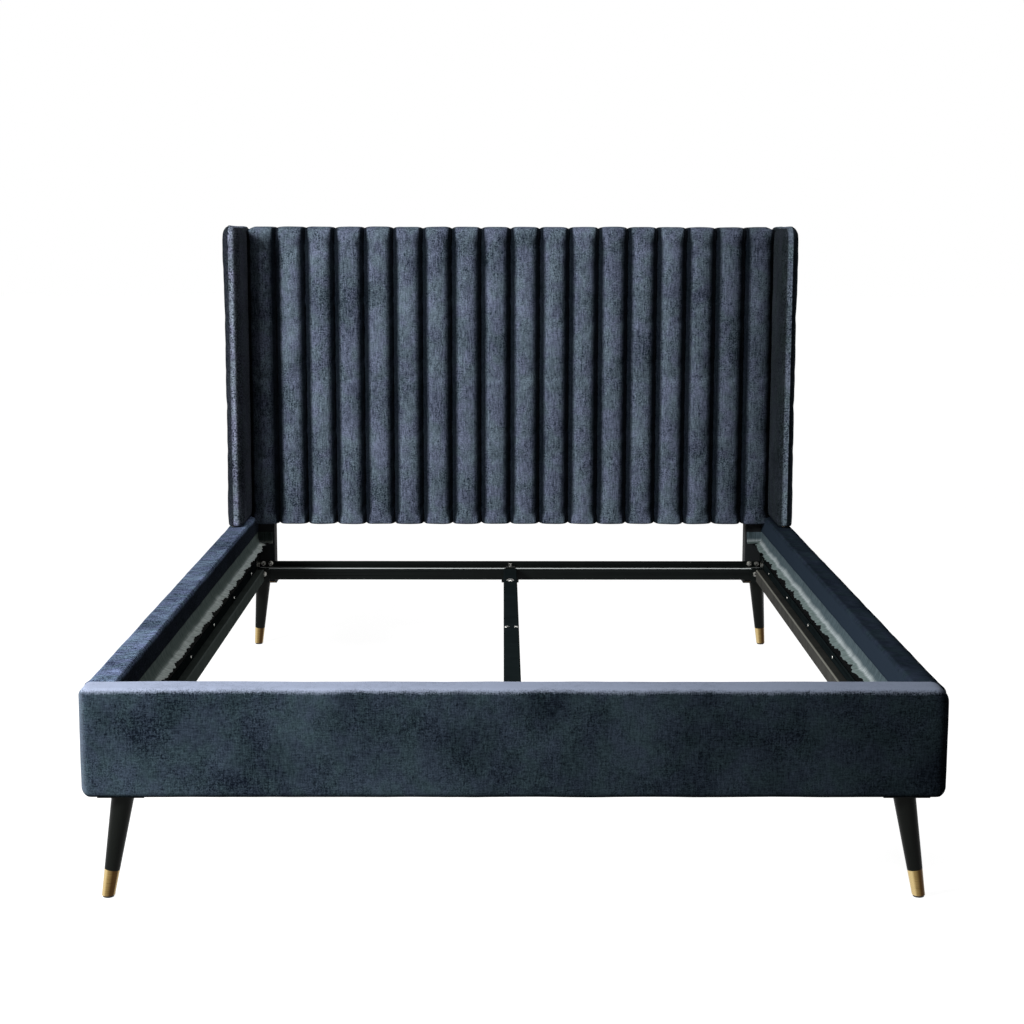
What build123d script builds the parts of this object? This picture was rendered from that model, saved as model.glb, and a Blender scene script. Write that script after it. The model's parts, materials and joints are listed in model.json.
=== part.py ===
from build123d import *
import math
import os

# Upholstered wing bed without a mattress: a channelled headboard with wings, padded side rails
# and footboard, a folded steel sub-frame and splayed wooden legs with brass ferrules.
# Sizes are in millimetres. X runs across the bed, Y from the footboard to the headboard, Z up.
# The origin is on the floor under the middle of the bed. Right is the +X side.

# Whole bed
bed_width = 1660.0
bed_length = 2265.0
floor_gap = 208.0
side_height = 212.0
channel_top = 1294.0
fit_gap = 0.1
seat_gap = 0.3
cut_overrun = 5.0

# Side rails: a plank in foam and velvet, which ends inside under a stapled lining
rail_thickness = 60.0
rail_board_thickness = 36.0
velvet_wrap = 3.0
top_foam = 12.0
velvet_drop = 55.0
rail_top_outer_radius = 20.0
rail_top_inner_radius = 11.0
rail_bottom_radius = 10.0

# Lining strips of grey non-woven cloth on the inner faces
lining_thickness = 1.0
lining_drop = 47.0
lining_height = 70.0
ragged_depth = 7.0
ragged_pitch = 34.0
ragged_wave_shares = (1.7, 2.9)
lining_start = 80.0
lining_bracket_gap = 6.0

# Footboard
foot_thickness = 70.0
foot_board_thickness = 30.0
foot_board_end = 18.0
foot_corner_radius = 26.0
foot_back_corner_radius = 6.0
foot_top_radius = 13.0
foot_bottom_radius = 10.0

# Headboard: timber frame, plywood panel, channelled pad and back cover
back_cover_thickness = 18.0
frame_depth = 60.0
post_width = 45.0
cross_rail_height = 45.0
middle_rail_height = 812.0
panel_thickness = 15.0
pad_depth = 60.0
pad_below_rail_top = 19.0
pad_top_cover = 14.0
pad_bottom_wrap = 3.0
channel_count = 18
channel_crown = 28.0
channel_top_crown = 7.0
channel_top_radius = 40.0
channel_bottom_radius = 16.0
back_cover_radius = 8.0
sleeve_thickness = 2.0
sleeve_radius = 4.0

# Wings
wing_rise = 6.0
wing_reach = 174.0
wing_thickness = 45.0
wing_board_thickness = 18.0
wing_inner_foam = 13.0
wing_edge_foam = 14.0
wing_corner_radius = 48.0
wing_back_radius = 24.0
wing_edge_radius = 20.0

# Steel sub-frame
slat_level = 260.0
steel_thickness = 3.0
support_bar_rise = 21.0
ledge_reach = 25.5
ledge_height = 36.0
ledge_wall = 1.5
ledge_radius = 2.0
ledge_front_gap = 4.0
cross_bar_bottom = 224.0
cross_bar_height = 36.0
cross_bar_flange = 40.0
cross_bar_lip = 15.0
cross_bar_return = 25.0
cross_bar_end_gap = 5.0
side_bracket_thickness = 4.0
side_bracket_reach = 26.0
side_bracket_bottom = 216.0
side_bracket_height = 76.0
side_bracket_ear = 34.0
side_bracket_ear_height = 46.0
side_bracket_ledge_gap = 3.0
side_bracket_bolt_shares = (0.25, 0.75)
ear_bolt_share = 0.6
lip_bolt_shares = (0.25, 0.75)
corner_bracket_length = 73.0
corner_bracket_height = 64.0
corner_bracket_bottom = 288.0
corner_bolt_shares = (0.4, 0.8)

# Centre beam and its brackets
beam_width = 40.0
beam_height = 30.0
beam_wall = 2.0
beam_radius = 3.0
beam_end_gap = 3.0
tongue_length = 230.0
tongue_wall = 2.5
beam_plate_width = 52.0
beam_plate_bottom = 216.0
beam_plate_height = 44.0
beam_plate_radius = 12.0
hook_width = 28.0
hook_length = 31.0
front_plate_width = 96.0
front_plate_height = 50.0
cradle_length = 40.0
beam_bolt_inset = 200.0

# Splayed legs
leg_top_radius = 22.0
leg_waist_radius = 15.0
leg_tip_radius = 12.5
leg_lean = 34.6
leg_overrun = 8.0
front_leg_inset_x = 73.0
front_leg_inset_y = 42.0
rear_leg_inset_x = 66.0
rear_leg_inset_y = 40.0
front_leg_turn = -13.0
rear_leg_turn = 53.0
ferrule_length = 56.0
ferrule_wall = 1.0
ferrule_floor = 1.5
glide_height = 4.0
glide_radius = 11.0
glide_chamfer = 0.8
glide_pin_radius = 1.5
glide_pin_length = 16.0
leg_plate_length = 90.0
leg_plate_width = 52.0
leg_plate_thickness = 4.0
leg_screw_reach = 32.0

# Centre legs with levelling feet
centre_leg_places = (700.0, 1300.0)
centre_plate_width = 36.0
centre_plate_length = 70.0
centre_tube_radius = 14.0
centre_tube_wall = 1.5
centre_tube_bottom = 42.0
plug_height = 14.0
stud_radius = 5.0
stud_length = 94.0
stud_clearance = 0.08
collar_across = 17.0
collar_height = 7.0
foot_radius = 18.0
foot_height = 12.0
foot_socket_depth = 6.0
foot_edge_radius = 1.5
collar_gap = 1.0

# Fasteners
bolt_radius = 4.0
bolt_length = 26.0
bolt_head_across = 12.5
bolt_head_height = 5.3
washer_radius = 7.2
washer_thickness = 1.4
weld_nut_radius = 7.5
weld_nut_height = 6.0
screw_radius = 2.5
screw_length = 24.0
screw_head_radius = 4.5
screw_head_height = 2.6
small_bolt_radius = 3.0
small_bolt_head_radius = 5.5
small_bolt_head_height = 3.5
small_bolt_pitch = 24.0
dome_radius = 11.5
dome_height = 5.5
dome_bolt_radius = 4.0
hanger_radius = 5.0
hanger_depth = 45.0
ledge_screw_count = 6
ledge_screw_end = 120.0

# Places worked out from the sizes above
half_width = bed_width / 2
front_face = -bed_length / 2
back_face = bed_length / 2
side_top = floor_gap + side_height
foot_back = front_face + foot_thickness
rail_inner = half_width - rail_thickness
rail_board_inner = rail_inner + velvet_wrap
rail_board_outer = rail_board_inner + rail_board_thickness
board_bottom = floor_gap + velvet_wrap
board_top = side_top - top_foam
velvet_edge = side_top - velvet_drop
lining_top = side_top - lining_drop
lining_bottom = lining_top - lining_height
foot_board_back = foot_back - velvet_wrap
foot_board_front = foot_board_back - foot_board_thickness

back_cover_front = back_face - back_cover_thickness
frame_front = back_cover_front - frame_depth
panel_front = frame_front - panel_thickness
crest_y = panel_front - pad_depth
valley_y = crest_y + channel_crown
pad_bottom = side_top - pad_below_rail_top
frame_top = channel_top - pad_top_cover
wing_inner = half_width - wing_thickness
wing_board_inner = wing_inner + wing_inner_foam
wing_board_outer = wing_board_inner + wing_board_thickness
wing_front = crest_y - wing_reach
wing_top = channel_top + wing_rise
channel_pitch = 2 * wing_inner / channel_count
post_outer = rail_inner - sleeve_thickness
post_inner = post_outer - post_width
sleeve_front = frame_front - sleeve_thickness

support_bar_top = slat_level + support_bar_rise
ledge_inner = rail_board_inner - ledge_reach
ledge_bottom = slat_level - ledge_height
ledge_front = foot_back + ledge_front_gap
cross_bar_back = sleeve_front
cross_bar_front = cross_bar_back - cross_bar_flange
cross_bar_top = cross_bar_bottom + cross_bar_height
lip_top = cross_bar_top + cross_bar_lip
cross_bar_end = rail_inner - cross_bar_end_gap
ear_front = cross_bar_front - side_bracket_thickness
side_bracket_front = ear_front - side_bracket_reach + side_bracket_thickness
side_bracket_inner = rail_board_inner - side_bracket_thickness
ledge_back = side_bracket_front - side_bracket_ledge_gap

beam_bottom = slat_level - beam_height
beam_front = foot_back + velvet_wrap
beam_plate_front = cross_bar_front - steel_thickness
beam_back = beam_plate_front - beam_end_gap
leg_top = floor_gap - leg_plate_thickness


def block(x, y, z):
    """A box between two places along each axis."""
    sizes = [high - low for low, high in (x, y, z)]
    middles = [(low + high) / 2 for low, high in (x, y, z)]
    return Pos(*middles) * Box(*sizes)


def rounded(shape, axis, corners):
    """Rounds the edge along axis nearest to each (point, radius)."""
    for point, radius in corners:
        edge = shape.edges().filter_by(axis).sort_by_distance(point)[0]
        shape = fillet(edge, radius)
    return shape


def other_side(shape):
    """The left-hand copy of a right-hand piece."""
    return mirror(shape, about=Plane.YZ)


def both_sides(places):
    """Fastener places on the right, with their mirror images on the left."""
    left = [((-x, y, z), (-dx, dy, dz)) for (x, y, z), (dx, dy, dz) in places]
    return places + left


def placed(shape, place):
    """Stands a shape at a (point, direction) place, its own Z along the direction."""
    point, direction = place
    return Plane(origin=point, z_dir=direction) * shape


def drilled(shape, places, radius, depth):
    """Bores a hole from each place, against its direction."""
    tool = Pos(0, 0, cut_overrun) * Cylinder(
        radius, depth + cut_overrun, align=(Align.CENTER, Align.CENTER, Align.MAX)
    )
    for place in places:
        shape -= placed(tool, place)
    return shape


def bolted(shape, places):
    """Clearance holes for the hexagon bolts."""
    return drilled(shape, places, bolt_radius + fit_gap, bolt_length + seat_gap)


def screwed(shape, places):
    """Holes for the wood screws."""
    return drilled(shape, places, screw_radius, screw_length)


# Fastener places: a point under the head and the way the head faces

corner_bolt_height = corner_bracket_bottom + corner_bracket_height / 2
corner_rail_bolts = [
    ((rail_inner, foot_back + corner_bracket_length * share, corner_bolt_height), (-1, 0, 0))
    for share in corner_bolt_shares
]
corner_foot_bolts = [
    ((rail_inner - corner_bracket_length * share, foot_back, corner_bolt_height), (0, 1, 0))
    for share in corner_bolt_shares
]
side_bracket_bolt_y = (side_bracket_front + ear_front) / 2
side_bracket_bolts = [
    (
        (side_bracket_inner, side_bracket_bolt_y, side_bracket_bottom + side_bracket_height * share),
        (-1, 0, 0),
    )
    for share in side_bracket_bolt_shares
]
ear_bolt_x = side_bracket_inner - side_bracket_ear * ear_bolt_share
ear_bolts = [((ear_bolt_x, ear_front, (cross_bar_bottom + cross_bar_top) / 2), (0, -1, 0))]
lip_bolt_height = cross_bar_top + cross_bar_lip / 2
lip_front = cross_bar_back - steel_thickness
lip_bolts = [
    ((post_inner + post_width * share, lip_front, lip_bolt_height), (0, -1, 0))
    for share in lip_bolt_shares
]
hook_bolts = [
    ((0, cross_bar_front + cross_bar_flange / 2, cross_bar_top + steel_thickness), (0, 0, 1)),
]
front_plate_top = beam_bottom - steel_thickness + front_plate_height
front_beam_bolts = [
    ((front_plate_width / 2 - beam_width / 3, foot_back, (beam_bottom + slat_level) / 2), (0, 1, 0)),
]
beam_bolt_y = cross_bar_front - beam_bolt_inset
dome_bolts = [((0, beam_bolt_y, slat_level), (0, 0, 1))]
ledge_screw_span = ledge_back - ledge_front - 2 * ledge_screw_end
bar_screws = [
    (
        (
            rail_inner,
            ledge_front + ledge_screw_end + ledge_screw_span * i / (ledge_screw_count - 1),
            slat_level + support_bar_rise / 2,
        ),
        (-1, 0, 0),
    )
    for i in range(ledge_screw_count)
]
centre_leg_y = [front_face + place for place in centre_leg_places]
small_bolts = [
    ((side * small_bolt_pitch / 2, y, slat_level), (0, 0, 1))
    for y in centre_leg_y
    for side in (-1, 1)
]


# Corner legs: each stands on a slanted axis from a foot on the floor to its mounting plate

leg_tops = {
    "front": (half_width - front_leg_inset_x, front_face + front_leg_inset_y),
    "rear": (half_width - rear_leg_inset_x, back_face - rear_leg_inset_y),
}
leg_turns = {"front": front_leg_turn, "rear": rear_leg_turn}


def leg_plane(end):
    """The plane at the foot of a right-hand leg, its Z up along the leg."""
    x, y = leg_tops[end]
    turn = math.radians(leg_turns[end])
    foot = Vector(x + leg_lean * math.cos(turn), y + leg_lean * math.sin(turn), 0)
    return Plane(origin=foot, z_dir=Vector(x, y, leg_top) - foot)


def leg_axis_length():
    return math.hypot(leg_lean, leg_top)


def slab(end, low, high):
    """A level slice of space round a leg, to trim it flat."""
    x, y = leg_tops[end]
    reach = leg_lean + 2 * leg_top_radius
    return block((x - reach, x + reach), (y - reach, y + reach), (low, high))


def leg_cone(end, start, stop, start_radius, stop_radius):
    """A tapered round length of a leg, by distances along its axis."""
    cone = Cone(start_radius, stop_radius, stop - start, align=(Align.CENTER, Align.CENTER, Align.MIN))
    return leg_plane(end) * Pos(0, 0, start) * cone


def leg_bore(end, start, stop, radius):
    """A round of one radius along the leg's axis."""
    bore = Cylinder(radius, stop - start, align=(Align.CENTER, Align.CENTER, Align.MIN))
    return leg_plane(end) * Pos(0, 0, start) * bore


def ferrule_core(end):
    """The tapered tenon of the leg that fills the ferrule."""
    core = leg_cone(end, 0, ferrule_length, leg_tip_radius - ferrule_wall, leg_waist_radius - ferrule_wall)
    return core & slab(end, glide_height + ferrule_floor, leg_top)


def glide_centre(end):
    """Where the leg's axis meets the top of the glide."""
    plane = leg_plane(end)
    return plane.origin + plane.z_dir * (glide_height / plane.z_dir.Z)


def glide(end):
    """Plastic disc with the nail that holds it to the tip of the leg."""
    centre = glide_centre(end)
    disc = Cylinder(glide_radius, glide_height, align=(Align.CENTER, Align.CENTER, Align.MIN))
    disc = chamfer(disc.edges().sort_by(Axis.Z)[0], glide_chamfer)
    pin = Cylinder(
        glide_pin_radius, glide_height + glide_pin_length, align=(Align.CENTER, Align.CENTER, Align.MIN)
    )
    return Pos(centre.X, centre.Y, 0) * (disc + pin)


def glide_hole(end):
    """The hole of the glide's nail in ferrule and leg."""
    centre = glide_centre(end)
    hole = Cylinder(
        glide_pin_radius + fit_gap,
        glide_height + glide_pin_length + seat_gap,
        align=(Align.CENTER, Align.CENTER, Align.MIN),
    )
    return Pos(centre.X, centre.Y, 0) * hole


def ferrule(end):
    """Brass cup over the tip of the leg."""
    outer = leg_cone(end, 0, ferrule_length, leg_tip_radius, leg_waist_radius)
    outer = outer & slab(end, glide_height, leg_top)
    return outer - ferrule_core(end) - glide_hole(end)


def hanger(end, radius):
    """The round of the hanger bolt, from inside the leg to the top of its plate."""
    start = leg_axis_length() - hanger_depth
    rod = leg_bore(end, start, leg_axis_length() + 2 * leg_plate_thickness, radius)
    return rod & slab(end, 0, floor_gap - seat_gap)


def leg(end):
    """Turned wooden leg, sawn level at the top, with its tenon and bores."""
    length = leg_axis_length()
    taper = (leg_top_radius - leg_waist_radius) / (length - ferrule_length)
    over_radius = leg_top_radius + taper * leg_overrun
    shaft = leg_cone(end, ferrule_length, length + leg_overrun, leg_waist_radius, over_radius)
    shaft = shaft & slab(end, 0, leg_top)
    return shaft + ferrule_core(end) - hanger(end, hanger_radius) - glide_hole(end)


def leg_screws(end):
    """The two wood screws of a right-hand leg plate, heads down."""
    x, y = leg_tops[end]
    return [((x + side * leg_screw_reach, y, leg_top), (0, 0, -1)) for side in (-1, 1)]


def leg_plate(end):
    """Steel plate between the leg and the underside of the bed."""
    x, y = leg_tops[end]
    plate = block(
        (x - leg_plate_length / 2, x + leg_plate_length / 2),
        (y - leg_plate_width / 2, y + leg_plate_width / 2),
        (leg_top, floor_gap),
    )
    hole = leg_bore(end, leg_axis_length() - leg_overrun, leg_axis_length() + 2 * leg_overrun, hanger_radius)
    return screwed(plate - hole, leg_screws(end))


# Side rails

def side_rail():
    """Plank of the right side rail."""
    board = block(
        (rail_board_inner, rail_board_outer), (foot_back, back_face - velvet_wrap), (board_bottom, board_top)
    )
    board = bolted(board, corner_rail_bolts + side_bracket_bolts)
    return screwed(board, bar_screws + leg_screws("rear"))


def side_rail_cover():
    """Foam and velvet of the right side rail, open on the inside below the velvet's edge."""
    outer = block((rail_inner, half_width), (foot_back, back_face), (floor_gap, side_top))
    outer = rounded(
        outer,
        Axis.Y,
        [
            ((half_width, 0, side_top), rail_top_outer_radius),
            ((rail_inner, 0, side_top), rail_top_inner_radius),
            ((half_width, 0, floor_gap), rail_bottom_radius),
        ],
    )
    pocket = block(
        (rail_board_inner, rail_board_outer),
        (foot_back - cut_overrun, back_face - velvet_wrap),
        (board_bottom, board_top),
    )
    window = block(
        (rail_inner - cut_overrun, rail_board_inner),
        (foot_back - cut_overrun, back_face - velvet_wrap),
        (board_bottom, velvet_edge),
    )
    return screwed(outer - pocket - window, leg_screws("rear"))


def ragged_strip(start, end):
    """Outline of a lining strip: straight on top, torn along the bottom."""
    steps = round((end - start) / ragged_pitch)
    points = []
    for i in range(steps + 1):
        wave = sum(math.sin(i * share) for share in ragged_wave_shares) / 2
        points.append((start + (end - start) * i / steps, lining_bottom + ragged_depth * wave))
    return points + [(end, lining_top), (start, lining_top)]


def rail_lining():
    """Non-woven strip stapled over the velvet's edge on the right rail."""
    outline = ragged_strip(foot_back + lining_start, sleeve_front)
    points = [(rail_inner, y, z) for y, z in outline]
    face = make_face(Polyline(*points, close=True))
    return extrude(face, amount=lining_thickness, dir=(-1, 0, 0))


def support_bar():
    """Flat steel bar screwed along the inside of the right rail."""
    bar = block((rail_inner, rail_board_inner), (ledge_front, ledge_back), (ledge_bottom, support_bar_top))
    return screwed(bar, bar_screws)


def slat_ledge():
    """Rectangular steel tube welded along the support bar, which carries the slat ends on its top."""
    x = (ledge_inner, rail_inner)
    return tube(x, (ledge_front, ledge_back), (ledge_bottom, slat_level), ledge_wall, ledge_radius)


# Footboard

def footboard():
    """Plank of the footboard."""
    end = half_width - foot_board_end
    board = block((-end, end), (foot_board_front, foot_board_back), (board_bottom, board_top))
    board = bolted(board, both_sides(corner_foot_bolts + front_beam_bolts))
    return screwed(board, both_sides(leg_screws("front")))


def footboard_cover():
    """Foam and velvet of the footboard, open at the back between the rails."""
    outer = block((-half_width, half_width), (front_face, foot_back), (floor_gap, side_top))
    outer = rounded(
        outer,
        Axis.Z,
        [
            ((half_width, front_face, side_top), foot_corner_radius),
            ((-half_width, front_face, side_top), foot_corner_radius),
            ((half_width, foot_back, side_top), foot_back_corner_radius),
            ((-half_width, foot_back, side_top), foot_back_corner_radius),
        ],
    )
    top_edges = outer.faces().sort_by(Axis.Z)[-1].edges().filter_by_position(
        Axis.Y, front_face, foot_back - foot_back_corner_radius
    )
    outer = fillet(top_edges, foot_top_radius)
    bottom_edges = outer.faces().sort_by(Axis.Z)[0].edges().filter_by_position(
        Axis.Y, front_face, foot_back - foot_back_corner_radius
    )
    outer = fillet(bottom_edges, foot_bottom_radius)
    end = half_width - foot_board_end
    pocket = block((-end, end), (foot_board_front, foot_board_back), (board_bottom, board_top))
    window = block(
        (-rail_board_inner, rail_board_inner),
        (foot_board_back, foot_back + cut_overrun),
        (board_bottom, velvet_edge),
    )
    return screwed(outer - pocket - window, both_sides(leg_screws("front")))


def footboard_lining():
    """Non-woven strip stapled across the inside of the footboard."""
    end = rail_inner - corner_bracket_length - lining_bracket_gap
    points = [(x, foot_back, z) for x, z in ragged_strip(-end, end)]
    face = make_face(Polyline(*points, close=True))
    return extrude(face, amount=lining_thickness, dir=(0, 1, 0))


def corner_bracket():
    """Folded steel angle that bolts the right rail to the footboard."""
    top = corner_bracket_bottom + corner_bracket_height
    on_rail = block(
        (rail_inner, rail_board_inner),
        (foot_board_back, foot_board_back + corner_bracket_length),
        (corner_bracket_bottom, top),
    )
    on_foot = block(
        (rail_board_inner - corner_bracket_length, rail_board_inner),
        (foot_board_back, foot_back),
        (corner_bracket_bottom, top),
    )
    return bolted(on_rail + on_foot, corner_rail_bolts + corner_foot_bolts)


# Headboard

def rail_clearance():
    """Space of the right side rail, kept free by what hangs between the rails."""
    return block(
        (rail_inner - seat_gap, half_width + cut_overrun),
        (crest_y - cut_overrun, back_face + cut_overrun),
        (0, side_top + seat_gap),
    )


def headboard_post():
    """Right upright of the headboard frame, which runs down to the leg plate."""
    post = block((post_inner, post_outer), (frame_front, back_cover_front), (floor_gap, frame_top))
    return screwed(bolted(post, lip_bolts), leg_screws("rear"))


def cross_rails():
    """The three level timbers between the posts, from the bottom up."""
    x = (-post_inner, post_inner)
    y = (frame_front, back_cover_front)
    bottoms = [pad_bottom + pad_bottom_wrap, middle_rail_height, frame_top - cross_rail_height]
    return Compound(children=[block(x, y, (bottom, bottom + cross_rail_height)) for bottom in bottoms])


def post_sleeve():
    """Black cloth round the bare lower end of the right post."""
    low = floor_gap + sleeve_thickness
    sleeve = block(
        (post_inner - sleeve_thickness, rail_inner),
        (sleeve_front, back_cover_front + sleeve_thickness),
        (low, pad_bottom),
    )
    sleeve = fillet(sleeve.edges().filter_by(Axis.Z), sleeve_radius)
    core = block(
        (post_inner, post_outer),
        (frame_front, back_cover_front),
        (low - cut_overrun, pad_bottom + cut_overrun),
    )
    return bolted(sleeve - core, lip_bolts)


def headboard_panel():
    """Plywood sheet that backs the channels."""
    sheet = block(
        (-wing_board_inner, wing_board_inner),
        (panel_front, frame_front),
        (pad_bottom + pad_bottom_wrap, frame_top),
    )
    return sheet - rail_clearance() - other_side(rail_clearance())


def channel():
    """One channel: a crowned front that rolls over the top of the headboard."""
    half = channel_pitch / 2
    front = ThreePointArc(
        (-half, valley_y, pad_bottom), (0, crest_y, pad_bottom), (half, valley_y, pad_bottom)
    )
    back = Polyline(
        (half, valley_y, pad_bottom),
        (half, back_cover_front, pad_bottom),
        (-half, back_cover_front, pad_bottom),
        (-half, valley_y, pad_bottom),
    )
    plan = extrude(make_face(front + back), amount=channel_top - pad_bottom, dir=(0, 0, 1))
    valley_top = channel_top - channel_top_crown
    crown = ThreePointArc(
        (-half, crest_y, valley_top), (0, crest_y, channel_top), (half, crest_y, valley_top)
    )
    sides = Polyline(
        (half, crest_y, valley_top),
        (half, crest_y, pad_bottom),
        (-half, crest_y, pad_bottom),
        (-half, crest_y, valley_top),
    )
    over = extrude(make_face(crown + sides), amount=back_cover_front - crest_y, dir=(0, 1, 0))
    outline = Polyline(
        (-half, crest_y, pad_bottom),
        (-half, panel_front, pad_bottom),
        (-half, panel_front, frame_top),
        (-half, back_cover_front, frame_top),
        (-half, back_cover_front, channel_top),
        (-half, crest_y, channel_top),
        close=True,
    )
    profile = extrude(make_face(outline), amount=channel_pitch, dir=(1, 0, 0))
    profile = rounded(
        profile,
        Axis.X,
        [
            ((0, crest_y, channel_top), channel_top_radius),
            ((0, crest_y, pad_bottom), channel_bottom_radius),
        ],
    )
    return plan & over & profile


def channel_pad():
    """The whole velvet pad, sewn into upright channels."""
    one = channel()
    places = [-wing_inner + channel_pitch * (i + 0.5) for i in range(channel_count)]
    pad = Part() + [Pos(x, 0, 0) * one for x in places]
    return pad - rail_clearance() - other_side(rail_clearance())


def headboard_back_cover():
    """Padded velvet sheet over the back of the frame, between the wings."""
    cover = block((-wing_inner, wing_inner), (back_cover_front, back_face), (pad_bottom, channel_top))
    cover = rounded(
        cover,
        Axis.X,
        [
            ((0, back_face, channel_top), back_cover_radius),
            ((0, back_face, pad_bottom), back_cover_radius),
        ],
    )
    return cover - rail_clearance() - other_side(rail_clearance())


# Wings

def wing_profile(x, foam):
    """A wing's side outline between two places across the bed, drawn in by the foam."""
    body = block(x, (wing_front + foam, back_face - foam), (side_top, wing_top - foam))
    return rounded(
        body,
        Axis.X,
        [
            ((0, wing_front, wing_top), wing_corner_radius - foam),
            ((0, back_face, wing_top), wing_back_radius - foam),
        ],
    )


def wing_board():
    """Plywood core of the right wing."""
    return wing_profile((wing_board_inner, wing_board_outer), wing_edge_foam)


def wing_cover():
    """Foam and velvet round the right wing, open where the headboard frame meets its board."""
    outer = wing_profile((wing_inner, half_width), 0)
    rims = outer.faces().filter_by(Axis.X).edges().filter_by_position(
        Axis.Z, side_top, wing_top, inclusive=(False, True)
    )
    outer = fillet(rims, wing_edge_radius)
    notch = block(
        (wing_inner - cut_overrun, wing_board_inner),
        (panel_front, back_cover_front),
        (side_top - cut_overrun, frame_top),
    )
    return outer - wing_board() - notch


def wing_batten():
    """Timber between the right post and the wing's board."""
    return block(
        (post_outer, wing_board_inner), (frame_front, back_cover_front), (side_top + seat_gap, frame_top)
    )


# Steel sub-frame

def rear_cross_bar():
    """Folded steel bar between the side rails, with a lip that bolts to the posts."""
    x = (-cross_bar_end, cross_bar_end)
    web = block(x, (cross_bar_front, cross_bar_front + steel_thickness), (cross_bar_bottom, cross_bar_top))
    flange = block(x, (cross_bar_front, cross_bar_back), (cross_bar_top - steel_thickness, cross_bar_top))
    lip = block(x, (lip_front, cross_bar_back), (cross_bar_top - steel_thickness, lip_top))
    lower = block(
        x,
        (cross_bar_front, cross_bar_front + cross_bar_return),
        (cross_bar_bottom, cross_bar_bottom + steel_thickness),
    )
    bar = web + flange + lip + lower
    nut = Cylinder(weld_nut_radius, weld_nut_height, align=(Align.CENTER, Align.CENTER, Align.MAX))
    depth = side_bracket_thickness + steel_thickness
    for place in both_sides(ear_bolts):
        bar += placed(Pos(0, 0, -depth) * nut, place)
    for place in hook_bolts:
        bar += placed(Pos(0, 0, -2 * steel_thickness) * nut, place)
    return bolted(bar, both_sides(ear_bolts + lip_bolts) + hook_bolts)


def cross_bar_bracket():
    """Folded bracket that carries the right end of the cross bar."""
    on_rail = block(
        (side_bracket_inner, rail_board_inner),
        (side_bracket_front, cross_bar_back),
        (side_bracket_bottom, side_bracket_bottom + side_bracket_height),
    )
    ear = block(
        (side_bracket_inner - side_bracket_ear, side_bracket_inner),
        (ear_front, cross_bar_front),
        (side_bracket_bottom, side_bracket_bottom + side_bracket_ear_height),
    )
    return bolted(on_rail + ear, side_bracket_bolts + ear_bolts)


def tube(x, y, z, wall, radius):
    """A rectangular tube along Y with rounded corners."""
    outer = block(x, y, z)
    outer = fillet(outer.edges().filter_by(Axis.Y), radius)
    inner = block(
        (x[0] + wall, x[1] - wall), (y[0] - cut_overrun, y[1] + cut_overrun), (z[0] + wall, z[1] - wall)
    )
    return outer - inner


def centre_beam():
    """Rectangular steel tube along the middle of the bed."""
    x = (-beam_width / 2, beam_width / 2)
    beam = tube(x, (beam_front, beam_back), (beam_bottom, slat_level), beam_wall, beam_radius)
    beam = drilled(beam, small_bolts, small_bolt_radius, beam_height)
    return drilled(beam, dome_bolts, dome_bolt_radius + fit_gap, beam_wall)


def beam_bracket_rear():
    """Hook over the cross bar with the tongue that slides into the centre beam."""
    plate = block(
        (-beam_plate_width / 2, beam_plate_width / 2),
        (beam_plate_front, cross_bar_front),
        (beam_plate_bottom, beam_plate_bottom + beam_plate_height),
    )
    top = beam_plate_bottom + beam_plate_height
    plate = rounded(
        plate,
        Axis.Y,
        [
            ((beam_plate_width / 2, cross_bar_front, top), beam_plate_radius),
            ((-beam_plate_width / 2, cross_bar_front, top), beam_plate_radius),
        ],
    )
    hook_top = cross_bar_top + steel_thickness
    hook_x = (-hook_width / 2, hook_width / 2)
    neck = block(hook_x, (beam_plate_front, cross_bar_front), (top - beam_plate_radius, hook_top))
    hook = block(hook_x, (beam_plate_front, beam_plate_front + hook_length), (cross_bar_top, hook_top))
    inset = beam_wall + fit_gap
    tongue = tube(
        (-beam_width / 2 + inset, beam_width / 2 - inset),
        (beam_plate_front - tongue_length, beam_plate_front),
        (beam_bottom + inset, slat_level - inset),
        tongue_wall,
        beam_radius - inset / 2,
    )
    nut = Cylinder(weld_nut_radius, weld_nut_height, align=(Align.CENTER, Align.CENTER, Align.MAX))
    nut = placed(Pos(0, 0, -inset - tongue_wall) * nut, dome_bolts[0])
    bracket = bolted(plate + neck + hook + tongue + nut, hook_bolts)
    return drilled(bracket, dome_bolts, dome_bolt_radius + fit_gap, beam_height / 2)


def beam_bracket_front():
    """Plate on the footboard with a cradle that the centre beam rests in."""
    cradle_bottom = beam_bottom - steel_thickness
    plate = block(
        (-front_plate_width / 2, front_plate_width / 2),
        (foot_board_back, foot_back),
        (board_bottom, front_plate_top),
    )
    inner = beam_width / 2 + fit_gap
    outer = inner + steel_thickness
    cradle_end = foot_back + cradle_length
    base = block((-outer, outer), (foot_back + steel_thickness, cradle_end), (cradle_bottom, beam_bottom))
    cheek = block((inner, outer), (foot_back, cradle_end), (cradle_bottom, slat_level))
    bracket = plate + base + cheek + other_side(cheek)
    return bolted(bracket, both_sides(front_beam_bolts))


# Centre legs

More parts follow.
